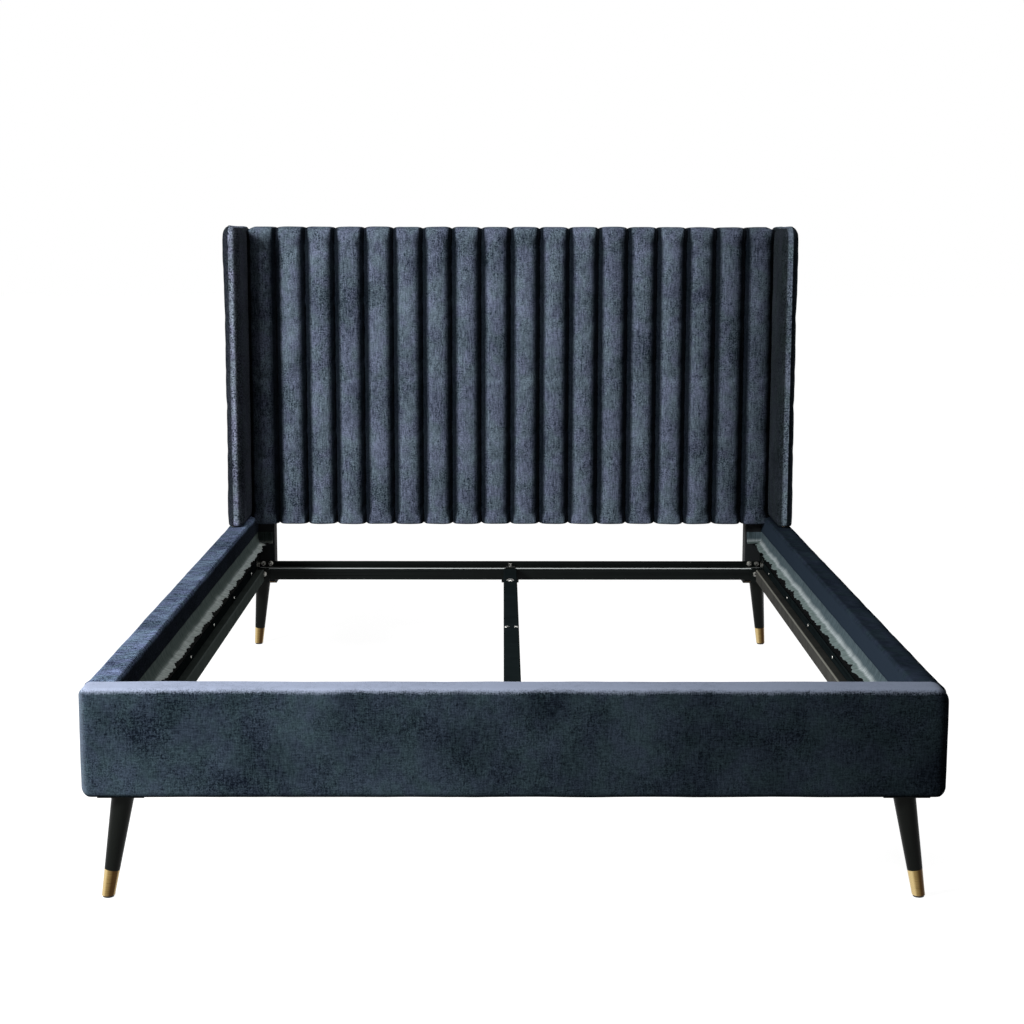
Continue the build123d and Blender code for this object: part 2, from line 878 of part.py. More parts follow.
def centre_leg(y):
    """Steel tube under the centre beam, with a bolted top plate and a threaded bottom plug."""
    plate = block(
        (-centre_plate_width / 2, centre_plate_width / 2),
        (y - centre_plate_length / 2, y + centre_plate_length / 2),
        (beam_bottom - steel_thickness, beam_bottom),
    )
    plate = drilled(plate, small_bolts, small_bolt_radius, beam_height + steel_thickness)
    height = beam_bottom - steel_thickness - centre_tube_bottom
    upward = (Align.CENTER, Align.CENTER, Align.MIN)
    shaft = Cylinder(centre_tube_radius, height, align=upward)
    hollow = Pos(0, 0, plug_height) * Cylinder(centre_tube_radius - centre_tube_wall, height, align=upward)
    bore = Cylinder(stud_radius + stud_clearance, 2 * plug_height, align=upward)
    shaft = Pos(0, y, centre_tube_bottom) * (shaft - hollow - bore)
    return plate + shaft


def leveller_stud(y):
    """Threaded stud with a hexagon collar, which turns in the foot."""
    start = foot_height - foot_socket_depth
    rod = Pos(0, y, start) * Cylinder(stud_radius, stud_length, align=(Align.CENTER, Align.CENTER, Align.MIN))
    hexagon = RegularPolygon(collar_across / 2, 6, major_radius=False)
    collar = Pos(0, y, foot_height + collar_gap) * extrude(hexagon, amount=collar_height)
    return rod + collar


def leveller_foot(y):
    """Round plastic foot with the stud's socket."""
    upward = (Align.CENTER, Align.CENTER, Align.MIN)
    disc = Cylinder(foot_radius, foot_height, align=upward)
    disc = fillet(disc.edges().sort_by(Axis.Z)[-1], foot_edge_radius)
    socket = Pos(0, 0, foot_height - foot_socket_depth) * Cylinder(
        stud_radius + stud_clearance, foot_height, align=upward
    )
    return Pos(0, y, 0) * (disc - socket)


# Fasteners

def hex_bolt():
    """Hexagon bolt with its washer, head up, seat at zero."""
    washer = Cylinder(washer_radius, washer_thickness, align=(Align.CENTER, Align.CENTER, Align.MIN))
    head = extrude(RegularPolygon(bolt_head_across / 2, 6, major_radius=False), amount=bolt_head_height)
    shank = Cylinder(bolt_radius, bolt_length, align=(Align.CENTER, Align.CENTER, Align.MAX))
    return washer + Pos(0, 0, washer_thickness) * head + shank


def pan_bolt(head_radius, head_height, radius, length):
    """Bolt or screw with a low rounded head, seat at zero."""
    head = Cylinder(head_radius, head_height, align=(Align.CENTER, Align.CENTER, Align.MIN))
    head = fillet(head.edges().sort_by(Axis.Z)[-1], head_height / 2)
    return head + Cylinder(radius, length, align=(Align.CENTER, Align.CENTER, Align.MAX))


def dome_bolt():
    """Carriage bolt with a wide domed head."""
    sphere_radius = (dome_radius**2 + dome_height**2) / (2 * dome_height)
    ball = Pos(0, 0, dome_height - sphere_radius) * Sphere(sphere_radius)
    reach = 2 * sphere_radius
    head = ball & block((-reach, reach), (-reach, reach), (0, dome_height))
    shank = Cylinder(
        dome_bolt_radius, beam_height / 2 - fit_gap, align=(Align.CENTER, Align.CENTER, Align.MAX)
    )
    return head + shank


def group(shape, places):
    """Separate copies of a fastener, one at each place."""
    return Compound(children=[placed(shape, place) for place in places])


hex_bolt_places = hook_bolts + both_sides(
    corner_rail_bolts + corner_foot_bolts + side_bracket_bolts + ear_bolts + lip_bolts + front_beam_bolts
)
wood_screw_places = both_sides(bar_screws + leg_screws("front") + leg_screws("rear"))

screw = pan_bolt(screw_head_radius, screw_head_height, screw_radius, screw_length)
small_bolt = pan_bolt(
    small_bolt_head_radius, small_bolt_head_height, small_bolt_radius, beam_height + steel_thickness
)

parts = {
    "headboard_cross_rails": cross_rails(),
    "headboard_panel": headboard_panel(),
    "channel_pad": channel_pad(),
    "headboard_back_cover": headboard_back_cover(),
    "footboard": footboard(),
    "footboard_cover": footboard_cover(),
    "footboard_lining": footboard_lining(),
    "rear_cross_bar": rear_cross_bar(),
    "centre_beam": centre_beam(),
    "beam_bracket_rear": beam_bracket_rear(),
    "beam_bracket_front": beam_bracket_front(),
    "frame_bolts": group(hex_bolt(), hex_bolt_places),
    "wood_screws": group(screw, wood_screw_places),
    "centre_leg_bolts": group(small_bolt, small_bolts),
    "beam_bolt": placed(dome_bolt(), dome_bolts[0]),
}

right_hand = {
    "headboard_post": headboard_post(),
    "post_sleeve": post_sleeve(),
    "wing_board": wing_board(),
    "wing_cover": wing_cover(),
    "wing_batten": wing_batten(),
    "side_rail": side_rail(),
    "side_rail_cover": side_rail_cover(),
    "rail_lining": rail_lining(),
    "support_bar": support_bar(),
    "slat_ledge": slat_ledge(),
    "corner_bracket": corner_bracket(),
    "cross_bar_bracket": cross_bar_bracket(),
}
for end in ("front", "rear"):
    right_hand["leg_" + end] = leg(end)
    right_hand["ferrule_" + end] = ferrule(end)
    right_hand["glide_" + end] = glide(end)

for name, piece in right_hand.items():
    parts[name + "_right"] = piece
    parts[name + "_left"] = other_side(piece)

plates = [leg_plate(end) for end in ("front", "rear")]
hangers = [hanger(end, hanger_radius) for end in ("front", "rear")]
parts["leg_plates"] = Compound(children=plates + [other_side(plate) for plate in plates])
parts["hanger_bolts"] = Compound(children=hangers + [other_side(rod) for rod in hangers])

for name, y in zip(("front", "rear"), centre_leg_y):
    parts["centre_leg_" + name] = centre_leg(y)
    parts["leveller_stud_" + name] = leveller_stud(y)
    parts["leveller_foot_" + name] = leveller_foot(y)

os.makedirs("parts", exist_ok=True)
for name, piece in parts.items():
    export_step(piece, "parts/" + name + ".step")
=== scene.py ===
import json
import math
import random

import bmesh
import bpy
from mathutils import Matrix, Vector

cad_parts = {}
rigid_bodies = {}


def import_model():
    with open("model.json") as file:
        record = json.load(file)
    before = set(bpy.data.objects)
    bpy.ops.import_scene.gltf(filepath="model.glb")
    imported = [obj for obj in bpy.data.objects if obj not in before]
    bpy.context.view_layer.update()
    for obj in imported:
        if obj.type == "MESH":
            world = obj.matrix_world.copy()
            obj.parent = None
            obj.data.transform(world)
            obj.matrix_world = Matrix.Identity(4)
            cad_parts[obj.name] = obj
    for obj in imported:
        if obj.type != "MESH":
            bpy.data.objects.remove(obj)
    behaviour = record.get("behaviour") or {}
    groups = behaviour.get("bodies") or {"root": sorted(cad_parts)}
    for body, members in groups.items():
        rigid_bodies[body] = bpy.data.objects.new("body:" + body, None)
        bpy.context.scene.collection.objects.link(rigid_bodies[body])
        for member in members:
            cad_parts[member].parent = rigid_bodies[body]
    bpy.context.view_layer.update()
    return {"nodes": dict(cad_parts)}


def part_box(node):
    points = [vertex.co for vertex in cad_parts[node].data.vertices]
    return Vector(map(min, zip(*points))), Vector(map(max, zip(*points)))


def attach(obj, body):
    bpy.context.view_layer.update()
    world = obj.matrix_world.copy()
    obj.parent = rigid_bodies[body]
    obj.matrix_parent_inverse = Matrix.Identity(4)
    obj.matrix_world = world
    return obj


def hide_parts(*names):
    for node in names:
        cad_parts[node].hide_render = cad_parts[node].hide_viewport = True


for leftover in list(bpy.data.objects):
    bpy.data.objects.remove(leftover)
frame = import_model()
nodes = frame["nodes"]


# Headboard frame: two posts, three cross rails and the two wing battens.
# Planed pine, cut to length and screwed together, bare because the covers hide it.
def linear(hex_colour):
    """Turns an sRGB hex colour into the linear colour that a shader takes."""
    parts = [int(hex_colour[at:at + 2], 16) / 255 for at in (1, 3, 5)]
    return tuple(p / 12.92 if p <= 0.04045 else ((p + 0.055) / 1.055) ** 2.4 for p in parts) + (1.0,)


def add_node(material, kind, feeds=None, **settings):
    """Adds one shader node. feeds gives a socket a number, a colour, another node's output, or a node."""
    made = material.node_tree.nodes.new("ShaderNode" + kind)
    for name, value in settings.items():
        setattr(made, name, value)
    for socket, value in (feeds or {}).items():
        if isinstance(value, (bpy.types.Node, bpy.types.NodeSocket)):
            feed(material, value, made.inputs[socket])
        else:
            made.inputs[socket].default_value = value
    return made


def new_finish(name, finish):
    """Starts a material and sets the numbers that are the same all over it on its shader."""
    material = bpy.data.materials.new(name)
    material.use_nodes = True
    shader = material.node_tree.nodes["Principled BSDF"]
    for socket, value in finish.items():
        shader.inputs[socket].default_value = value
    return material, shader


def feed(material, source, target):
    """Links an output to a socket. A node stands for its result, which a mix of colours has in output 2."""
    if isinstance(source, bpy.types.Node):
        source = source.outputs[2 if source.type == "MIX" else 0]
    material.node_tree.links.new(source, target)


def grained_finish(name, finish, first, second, grain, detail, turn=(0.0, 1.0), relief=None):
    """A finish that goes from its first colour to its second in grains, grain of them in a metre along
    X, Y and Z. turn says between which heights of the grain the colour turns, and relief the strength and
    depth of its bumps. Returns the material, its shader and the grain's height."""
    material, shader = new_finish(name, finish)
    place = add_node(material, "TexCoord").outputs["Object"]
    along = add_node(material, "Mapping", {"Vector": place, "Scale": grain})
    height = add_node(material, "TexNoise", {"Vector": along, "Scale": 1.0, "Detail": detail}).outputs[0]
    share = add_node(material, "MapRange", {"Value": height, "From Min": turn[0], "From Max": turn[1]})
    tone = add_node(material, "Mix", {0: share, 6: linear(first), 7: linear(second)}, data_type="RGBA")
    feed(material, tone, shader.inputs["Base Color"])
    if relief:
        bump = add_node(material, "Bump", {"Height": height, "Strength": relief[0], "Distance": relief[1]})
        feed(material, bump, shader.inputs["Normal"])
    return material, shader, height


def timber_finish(name, early, late, stretch, roughness, gloss=0.3):
    """Sawn timber: pale early wood and darker late wood in lines along the length of the piece.
    stretch is the number of lines in a metre along X, Y and Z, and gloss the specular level."""
    return grained_finish(name, {"Roughness": roughness, "Specular IOR Level": gloss}, early, late, stretch,
                          5.0, turn=(0.35, 0.68), relief=(0.2, 0.0004))[0]


def both(*names):
    """The right and the left piece of each name."""
    return [name + side for name in names for side in ("_right", "_left")]


def dress(names, material):
    """Gives CAD nodes their finish."""
    for name in names:
        nodes[name].data.materials.clear()
        nodes[name].data.materials.append(material)


# Pine with growth lines about 4 mm apart: warm and pale, matt, with darker streaks along each batten.
pine_across = timber_finish("planed_pine_across", "#D8B98C", "#AE8353", (3, 240, 240), 0.7)
pine_upright = timber_finish("planed_pine_upright", "#D8B98C", "#AE8353", (240, 240, 3), 0.7)
dress(["headboard_cross_rails"], pine_across)
dress(both("headboard_post", "wing_batten"), pine_upright)

# Headboard panel and the board inside each wing.
# Poplar plywood, sawn to shape and screwed to the posts and battens.
# Rotary-cut veneer: broad soft figure, paler than the pine.
veneer = timber_finish("poplar_plywood", "#DCC6A0", "#BE9D6E", (30, 30, 4), 0.65)
dress(["headboard_panel"] + both("wing_board"), veneer)

# Side rails and footboard: the load-bearing planks inside the covers.
# Softwood planks, painted matt black because their inner faces show between the legs and the ledge.
# Matt paint that lets the raised grain through, so the black has faint lines along the plank.
black_plank_long = timber_finish("matt_black_plank_long", "#0A0C0D", "#050607", (160, 4, 160), 0.8, 0.01)
black_plank_wide = timber_finish("matt_black_plank_wide", "#0A0C0D", "#050607", (4, 160, 160), 0.8, 0.01)
dress(both("side_rail"), black_plank_long)
dress(["footboard"], black_plank_wide)


# Steel: the tube along each rail, the cross bar, the centre beam, their brackets and the leg plates.
# Folded 3 mm sheet and rectangular tube, powder-coated satin black, held with M8 bolts.
def ease_edges(name, radius, segments):
    """Rounds a CAD node's sharp edges with live modifiers, as folding and coating leave them."""
    piece = nodes[name]
    weld = piece.modifiers.new("weld", "WELD")
    weld.merge_threshold = 0.00001
    bevel = piece.modifiers.new("eased_edges", "BEVEL")
    bevel.width = radius
    bevel.segments = segments
    bevel.limit_method = "ANGLE"
    bevel.angle_limit = math.radians(50)
    bevel.harden_normals = False


def split_place(material):
    """The place on the bed, as its X, Y and Z."""
    place = add_node(material, "TexCoord").outputs["Object"]
    return add_node(material, "SeparateXYZ", {0: place}).outputs


def lay_over(material, value, colour, start=0.0, end=1.0, share=1.0):
    """Lays another colour over a material's own. It begins where value is start, and where value is end
    it covers as much as share says. Returns how much it covers."""
    base = material.node_tree.nodes["Principled BSDF"].inputs["Base Color"]
    under = base.links[0].from_socket
    mask = add_node(material, "MapRange", {"Value": value, "From Min": start, "From Max": end,
                                           "To Max": share}).outputs[0]
    mixed = add_node(material, "Mix", {0: mask, 6: under, 7: linear(colour)}, data_type="RGBA")
    feed(material, mixed, base)
    return mask


# Powder coat: a dielectric skin with fine orange peel, about 2 mm across, and a soft highlight.
def powder_coat(name, shade, lit, gloss):
    """A coat whose tone ranges from shade to lit with the dust in it; gloss is its specular level."""
    material, shader = grained_finish(name, {"Specular IOR Level": gloss, "Roughness": 0.38}, shade, lit,
                                      (25, 25, 25), 4.0)[:2]
    place = add_node(material, "TexCoord").outputs["Object"]
    peel = add_node(material, "TexNoise", {"Vector": place, "Scale": 450.0, "Detail": 2.0})
    bump = add_node(material, "Bump", {"Height": peel, "Strength": 0.12, "Distance": 0.0003})
    feed(material, bump, shader.inputs["Normal"])
    return material


def painted_highlight_on_bend(material, axis, off_middle, height, reach, colour):
    """Paints a highlight along an outer bend as one pale line, reach wide on both sides of it.
    axis is 0 where the bend is that far off the middle across the bed, and 1 where it is along the bed."""
    places = split_place(material)
    off = add_node(material, "Math", {0: places[axis]}, operation="ABSOLUTE")
    beside = add_node(material, "Math", {0: off, 1: off_middle, 2: reach}, operation="COMPARE")
    level = add_node(material, "Math", {0: places[2], 1: height, 2: reach}, operation="COMPARE")
    on_bend = add_node(material, "Math", {0: beside, 1: level}, operation="MULTIPLY")
    lay_over(material, on_bend, colour)


bar_low, bar_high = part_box("rear_cross_bar")
bar_bend = bar_high.z - 0.015
ledge_low, ledge_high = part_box("slat_ledge_right")
black_coat = powder_coat("satin_black_powder_coat", "#0A0D0D", "#131817", 0.08)
# A painted highlight runs as a pale line along the cross bar's front bend.
painted_highlight_on_bend(black_coat, 1, bar_low.y, bar_bend, 0.0022, "#E6ECEC")
beam_coat = powder_coat("matt_black_powder_coat", "#141A1B", "#222A2C", 0.0)
# Painted light: each tube has its own copy of the coat, toned for the light on its side, with painted shade
# on its top and a painted highlight along its bend.
for side, shade, lit, bend in (("right", "#3F403E", "#64635F", "#85857D"),
                               ("left", "#454D4A", "#656E6A", "#5A625F")):
    ledge_coat_with_painted_light = powder_coat("satin_grey_powder_coat_" + side, shade, lit, 0.0)
    lay_over(ledge_coat_with_painted_light, split_place(ledge_coat_with_painted_light)[2], "#171C1B", ledge_high.z - 0.002, ledge_high.z - 0.0005,
             0.6)
    painted_highlight_on_bend(ledge_coat_with_painted_light, 0, ledge_low.x, ledge_high.z, 0.0032, bend)
    dress(["slat_ledge_" + side], ledge_coat_with_painted_light)
dress(["rear_cross_bar", "beam_bracket_rear", "beam_bracket_front", "centre_leg_front", "centre_leg_rear",
       "leg_plates"] + both("corner_bracket", "cross_bar_bracket"), black_coat)
dress(["centre_beam"] + both("support_bar"), beam_coat)
ease_edges("rear_cross_bar", 0.0022, 3)
for bar in both("support_bar"):
    ease_edges(bar, 0.0009, 2)

# Fasteners: M8 bolts, wood screws, hanger bolts and the studs of the levelling feet.
# Cold-formed steel, black zinc plated, worn bright in patches 5 mm across where the spanner has been.
zinc, zinc_shader, zinc_cloud = grained_finish("worn_black_zinc_plate", {"Metallic": 1.0}, "#1C1C1B",
                                               "#E4E4DE", (180, 180, 180), 3.0, turn=(0.38, 0.54))
zinc_gloss = add_node(zinc, "MapRange", {"Value": zinc_cloud, "To Min": 0.2, "To Max": 0.4})
feed(zinc, zinc_gloss, zinc_shader.inputs["Roughness"])
dress(["frame_bolts", "wood_screws", "centre_leg_bolts", "beam_bolt", "hanger_bolts", "leveller_stud_front",
       "leveller_stud_rear"], zinc)

# Corner legs: four square-topped tapered legs that splay outwards.
# Turned hardwood, lacquered satin black, screwed into their plates by hanger bolts.
# Sprayed lacquer: almost black with a green-grey cast, and grain lines just felt under the film.
lacquer = grained_finish("satin_black_lacquer", {"Roughness": 0.35, "Specular IOR Level": 0.07}, "#0B0D0B",
                         "#161917", (500, 500, 12), 3.0, relief=(0.15, 0.0002))[0]
dress(both("leg_front", "leg_rear"), lacquer)

# Ferrules: the metal cups over the foot of each leg.
# Spun brass-plated steel with a fine turned brushing round the cup, pressed on.
# Satin brass: warm highlights, brown in its shadows, and brush lines drawn 1 mm apart so that they show.
brass, brass_shader, brass_lines = grained_finish("satin_brass_plate", {"Metallic": 1.0}, "#65502E",
                                                  "#A08858", (20, 20, 1000), 2.0)
brass_gloss = add_node(brass, "MapRange", {"Value": brass_lines, "To Min": 0.22, "To Max": 0.34})
feed(brass, brass_gloss, brass_shader.inputs["Roughness"])
# Painted light: each cup is painted bright on its left, as if lit, and brown on its right, as if in shade,
# with a painted highlight at the far edge.
brass_facing = add_node(brass, "NewGeometry").outputs["Normal"]
brass_painted_light_side = add_node(brass, "SeparateXYZ", {0: brass_facing}).outputs[0]
lay_over(brass, brass_painted_light_side, "#DCC48E", -0.3, -0.6, 0.75)
lay_over(brass, brass_painted_light_side, "#33200F", -0.25, 0.3, 0.92)
lay_over(brass, brass_painted_light_side, "#C0A672", 0.8, 0.93, 0.7)
dress(both("ferrule_front", "ferrule_rear"), brass)

# Glides under the ferrules, and the feet that screw up and down under the centre legs.
# Injection-moulded polyethylene, black, with the fine sparked grain of its mould.
moulded = grained_finish("black_moulded_plastic", {"Roughness": 0.5, "Specular IOR Level": 0.4}, "#151617",
                         "#202123", (900, 900, 900), 2.0, relief=(0.2, 0.0002))[0]
dress(both("glide_front", "glide_rear") + ["leveller_foot_front", "leveller_foot_rear"], moulded)


# Footboard cover: velvet over thin foam round the front, top and ends of the plank.
# The velvet turns over the top and is stapled to the plank's back, where the plank shows below it.
def begin(name, lowest, highest):
    """Adds a cube between two corners, alone in the selection, and opens it in edit mode."""
    bpy.ops.object.select_all(action="DESELECT")
    middle = [(low + high) / 2 for low, high in zip(lowest, highest)]
    size = [high - low for low, high in zip(lowest, highest)]
    bpy.ops.mesh.primitive_cube_add(size=1, location=middle, scale=size)
    piece = bpy.context.object
    piece.name = name
    piece.data.name = name
    bpy.ops.object.transform_apply(location=True, rotation=True, scale=True)
    bpy.ops.object.mode_set(mode="EDIT")
    return piece


def pick_edges(piece, test):
    """Selects the edges whose two ends pass the test together."""
    bpy.ops.mesh.select_mode(type="EDGE")
    bpy.ops.mesh.select_all(action="DESELECT")
    mesh = bmesh.from_edit_mesh(piece.data)
    for edge in mesh.edges:
        edge.select_set(test(edge.verts[0].co, edge.verts[1].co))
    bmesh.update_edit_mesh(piece.data)


def pick_faces(piece, test):
    """Selects faces by their middle and the way they face."""
    bpy.ops.mesh.select_mode(type="FACE")
    bpy.ops.mesh.select_all(action="DESELECT")
    mesh = bmesh.from_edit_mesh(piece.data)
    for face in mesh.faces:
        face.select_set(test(face.calc_center_median(), face.normal))
    bmesh.update_edit_mesh(piece.data)


def round_edges(piece, test, radius, segments):
    """Rounds the edges of which each end passes the test."""
    pick_edges(piece, lambda one, other: test(one) and test(other))
    bpy.ops.mesh.bevel(offset=radius, segments=segments, affect="EDGES", clamp_overlap=False)


def cut(axis, places):
    """Cuts the mesh that is open square to an axis, at each place."""
    for place in places:
        bpy.ops.mesh.select_all(action="SELECT")
        square = [0, 0, 0]
        square[axis] = 1
        point = [0, 0, 0]
        point[axis] = place
        bpy.ops.mesh.bisect(plane_co=point, plane_no=square)


def steps(start, end, spacing):
    """Places evenly spaced between start and end, without the two ends."""
    count = max(1, round((end - start) / spacing))
    return [start + (end - start) * step / count for step in range(1, count)]


def divide(piece, axis, start, end, spacing):
    """Divides the edges that run along an axis from start to end, and the faces between them."""
    def runs_along(one, other):
        near, far = sorted((one[axis], other[axis]))
        return abs(near - start) < 2 * touch and abs(far - end) < 2 * touch

    pick_edges(piece, runs_along)
    bpy.ops.mesh.subdivide(number_cuts=round((end - start) / spacing) - 1)


def swell(piece, is_stapled, furthest, pressure=4.0, slack=0.01):
    """Swells a cover over its foam: cloth under pressure, held where it is stapled.
    No point ends further than furthest from where it was cut."""
    bpy.ops.object.mode_set(mode="OBJECT")
    cut_places = [corner.co.copy() for corner in piece.data.vertices]
    stapled = piece.vertex_groups.new(name="stapled")
    stapled.add([at for at, place in enumerate(cut_places) if is_stapled(place)], 1.0, "REPLACE")
    cloth = piece.modifiers.new("swelling", "CLOTH")
    cloth.settings.vertex_group_mass = "stapled"
    cloth.settings.use_pressure = True
    cloth.settings.uniform_pressure_force = pressure
    cloth.settings.effector_weights.gravity = 0
    cloth.settings.shrink_min = -slack
    cloth.settings.quality = 4
    cloth.collision_settings.use_collision = False
    last_moment = 20
    cloth.point_cache.frame_start = 1
    cloth.point_cache.frame_end = last_moment
    for moment in range(1, last_moment + 1):
        bpy.context.scene.frame_set(moment)
    bpy.context.view_layer.objects.active = piece
    bpy.ops.object.modifier_apply(modifier="swelling")
    bpy.context.scene.frame_set(1)
    for corner, start in zip(piece.data.vertices, cut_places):
        move = corner.co - start
        if move.length > furthest:
            corner.co = start + move * (furthest / move.length)
    piece.vertex_groups.clear()


def smooth_out(piece):
    """Subdivides a piece once and shades it smooth."""
    bpy.ops.object.mode_set(mode="OBJECT")
    finer = piece.modifiers.new("finer", "SUBSURF")
    finer.levels = 1
    finer.render_levels = 1
    bpy.context.view_layer.objects.active = piece
    bpy.ops.object.modifier_apply(modifier="finer")
    bpy.ops.object.select_all(action="DESELECT")
    piece.select_set(True)
    bpy.ops.object.shade_smooth()


def ripple(piece, size, depth):
    """Lets a soft surface rise and fall by depth, in swells of about that size."""
    clouds = bpy.data.textures.new(piece.name + "_swells", "CLOUDS")
    clouds.noise_scale = size
    clouds.noise_depth = 2
    waves = piece.modifiers.new("waves", "DISPLACE")
    waves.texture = clouds
    waves.texture_coords = "GLOBAL"
    waves.strength = depth
    waves.mid_level = 0.5
    bpy.context.view_layer.objects.active = piece
    bpy.ops.object.modifier_apply(modifier="waves")


def velvet_finish(name, shade, lit, weft, warp, weights, spread, sheen, grit):
    """Crushed velvet: the pile leans in patches 140 mm across, so the same cloth is near-black navy in one
    place and slate in the next, with lavender and teal casts, and in some places it is flecked.
    weft and warp are the brushed threads in a metre along X, Y and Z and grit the flecks in a metre.
    weights say how much patches, weft, warp and flecks count, and spread how far the pile's tone ranges."""
    material, shader = new_finish(name, {"Roughness": 0.8, "Specular IOR Level": 0.0, "Sheen Weight": sheen,
                                         "Sheen Roughness": 0.3, "Sheen Tint": linear("#C3CEE6")})
    place = add_node(material, "TexCoord").outputs["Object"]
    patches = add_node(material, "TexNoise", {"Vector": place, "Scale": 7.0, "Detail": 4.0})
    heights = [patches.outputs[0]]
    for threads in (weft, warp):
        along = add_node(material, "Mapping", {"Vector": place, "Scale": threads})
        brushed = add_node(material, "TexNoise", {"Vector": along, "Scale": 1.0, "Detail": 3.0})
        heights.append(brushed.outputs[0])
    flecks = add_node(material, "TexNoise", {"Vector": place, "Scale": grit, "Detail": 2.0})
    off_mean = add_node(material, "Math", {0: flecks, 1: 0.5}, operation="SUBTRACT")
    crushed_places = add_node(material, "TexNoise", {"Vector": place, "Scale": 19.0, "Detail": 3.0})
    crushed_here = add_node(material, "MapRange", {"Value": crushed_places, "From Min": 0.35,
                                                   "From Max": 0.6, "To Min": 0.45})
    flecked = add_node(material, "Math", {0: off_mean, 1: crushed_here}, operation="MULTIPLY")
    heights.append(flecked.outputs[0])
    pile = 0.0
    for height, weight in zip(heights, weights):
        pile = add_node(material, "Math", {0: height, 1: weight, 2: pile},
                        operation="MULTIPLY_ADD").outputs[0]
    middle = sum(weights[:3]) / 2
    lean = add_node(material, "MapRange", {"Value": pile, "From Min": middle - spread,
                                           "From Max": middle + spread}, name="pile_lean")
    tone = add_node(material, "Mix", {0: lean, 6: linear(shade), 7: linear(lit)}, data_type="RGBA")
    cast_noise = add_node(material, "TexNoise", {"Vector": place, "Scale": 22.0, "Detail": 4.0})
    cast_side = add_node(material, "MapRange", {"Value": cast_noise, "From Min": 0.4, "From Max": 0.6})
    cast = add_node(material, "Mix", {0: cast_side, 6: linear("#BDB9DC"), 7: linear("#B4CDCB")},
                    data_type="RGBA")
    tinted = add_node(material, "Mix", {0: 0.5, 6: tone, 7: cast}, data_type="RGBA", blend_type="MULTIPLY")
    tufts = add_node(material, "Bump", {"Height": pile, "Strength": 0.4, "Distance": 0.002})
    feed(material, tinted, shader.inputs["Base Color"])
    feed(material, tufts, shader.inputs["Normal"])
    return material


def upholster(piece, velvet, replaced):
    """Covers a finished piece in its velvet, fixes it to the bed and hides the CAD node it replaces."""
    piece.data.materials.append(velvet)
    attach(piece, "bed")
    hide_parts(replaced)


foot_low, foot_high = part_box("footboard_cover")
rail_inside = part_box("side_rail_right")[0].x
foot_swell = 0.003
foot_front = foot_low.y + 0.001
foot_top = foot_high.z + foot_swell
foot_side = foot_high.x + foot_swell
foot_velvet = velvet_finish("crushed_velvet_footboard", "#171F28", "#55656F", (60, 60, 420), (420, 420, 60),
                            (0.9, 0.6, 0.6, 1.1), 0.27, 0.14, 400)
foot_places = split_place(foot_velvet)
# Painted shade: towards the right the cloth is painted darker, as the light falls off there.
painted_shade_to_right = lay_over(foot_velvet, foot_places[0], "#080C0C", -0.3, foot_side, 0.52)
# Painted sheen: the top edge is painted pale lavender, as it catches the light at a glance.
foot_lean = foot_velvet.node_tree.nodes["pile_lean"].outputs[0]
frayed_height = add_node(foot_velvet, "Math", {0: foot_lean, 1: 0.007, 2: foot_places[2]},
                         operation="MULTIPLY_ADD").outputs[0]
painted_top_sheen = add_node(foot_velvet, "MapRange", {"Value": frayed_height, "From Min": foot_top - 0.008,
                                              "From Max": foot_top + 0.0045},
                    interpolation_type="SMOOTHSTEP").outputs[0]
lay_over(foot_velvet, painted_top_sheen, "#A6B0C8")
# Painted shade darkens its right end there too.
painted_shade_top_right = add_node(foot_velvet, "Math", {0: painted_top_sheen, 1: painted_shade_to_right}, operation="MULTIPLY")
lay_over(foot_velvet, painted_shade_top_right, "#5F6A78")
# Painted highlight: the cloth is painted pale round the left end; painted shade: it is dark along the
# bottom edge where it turns under.
lay_over(foot_velvet, foot_places[0], "#A5B2C6", 0.016 - foot_side, -foot_side, 0.3)
lay_over(foot_velvet, foot_places[2], "#080B0B", foot_low.z + 0.01, foot_low.z + 0.003, 0.8)
# Corners closer than touch to a plane lie in it.
touch = 0.0001
foot_corner = 0.024
top_rim = 0.009
bottom_rim = 0.008
velvet_edge = 0.365
window_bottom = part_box("footboard")[0].z + 0.002
window_depth = 0.006
foot = begin("velvet_footboard", (-foot_side, foot_front, foot_low.z), (foot_side, foot_high.y, foot_top))
round_edges(foot, lambda c: c.y < foot_front + touch and c.x > 0, foot_corner, 5)
round_edges(foot, lambda c: c.y < foot_front + touch and c.x < touch - foot_side, foot_corner, 5)
round_edges(foot, lambda c: c.z > foot_top - touch, top_rim, 3)
round_edges(foot, lambda c: c.z < foot_low.z + touch and c.y < foot_high.y - 0.02, bottom_rim, 3)
cut(0, [foot_corner - foot_side, -rail_inside, rail_inside, foot_side - foot_corner])
cut(2, [window_bottom] + steps(window_bottom, velvet_edge, 0.012) + [velvet_edge]
    + steps(velvet_edge, foot_top - top_rim, 0.011))
cut(1, steps(foot_low.y + foot_corner, foot_high.y, 0.011))
divide(foot, 0, -rail_inside, rail_inside, 0.012)
pick_faces(foot, lambda middle, out: out.y > 0.9 and abs(middle.x) < rail_inside
           and window_bottom < middle.z < velvet_edge)
bpy.ops.mesh.extrude_region_move(TRANSFORM_OT_translate={"value": (0, -window_depth, 0)})
swell(foot, lambda c: c.y > foot_high.y - 0.012 or c.z < foot_low.z + 0.002, 0.004)
smooth_out(foot)
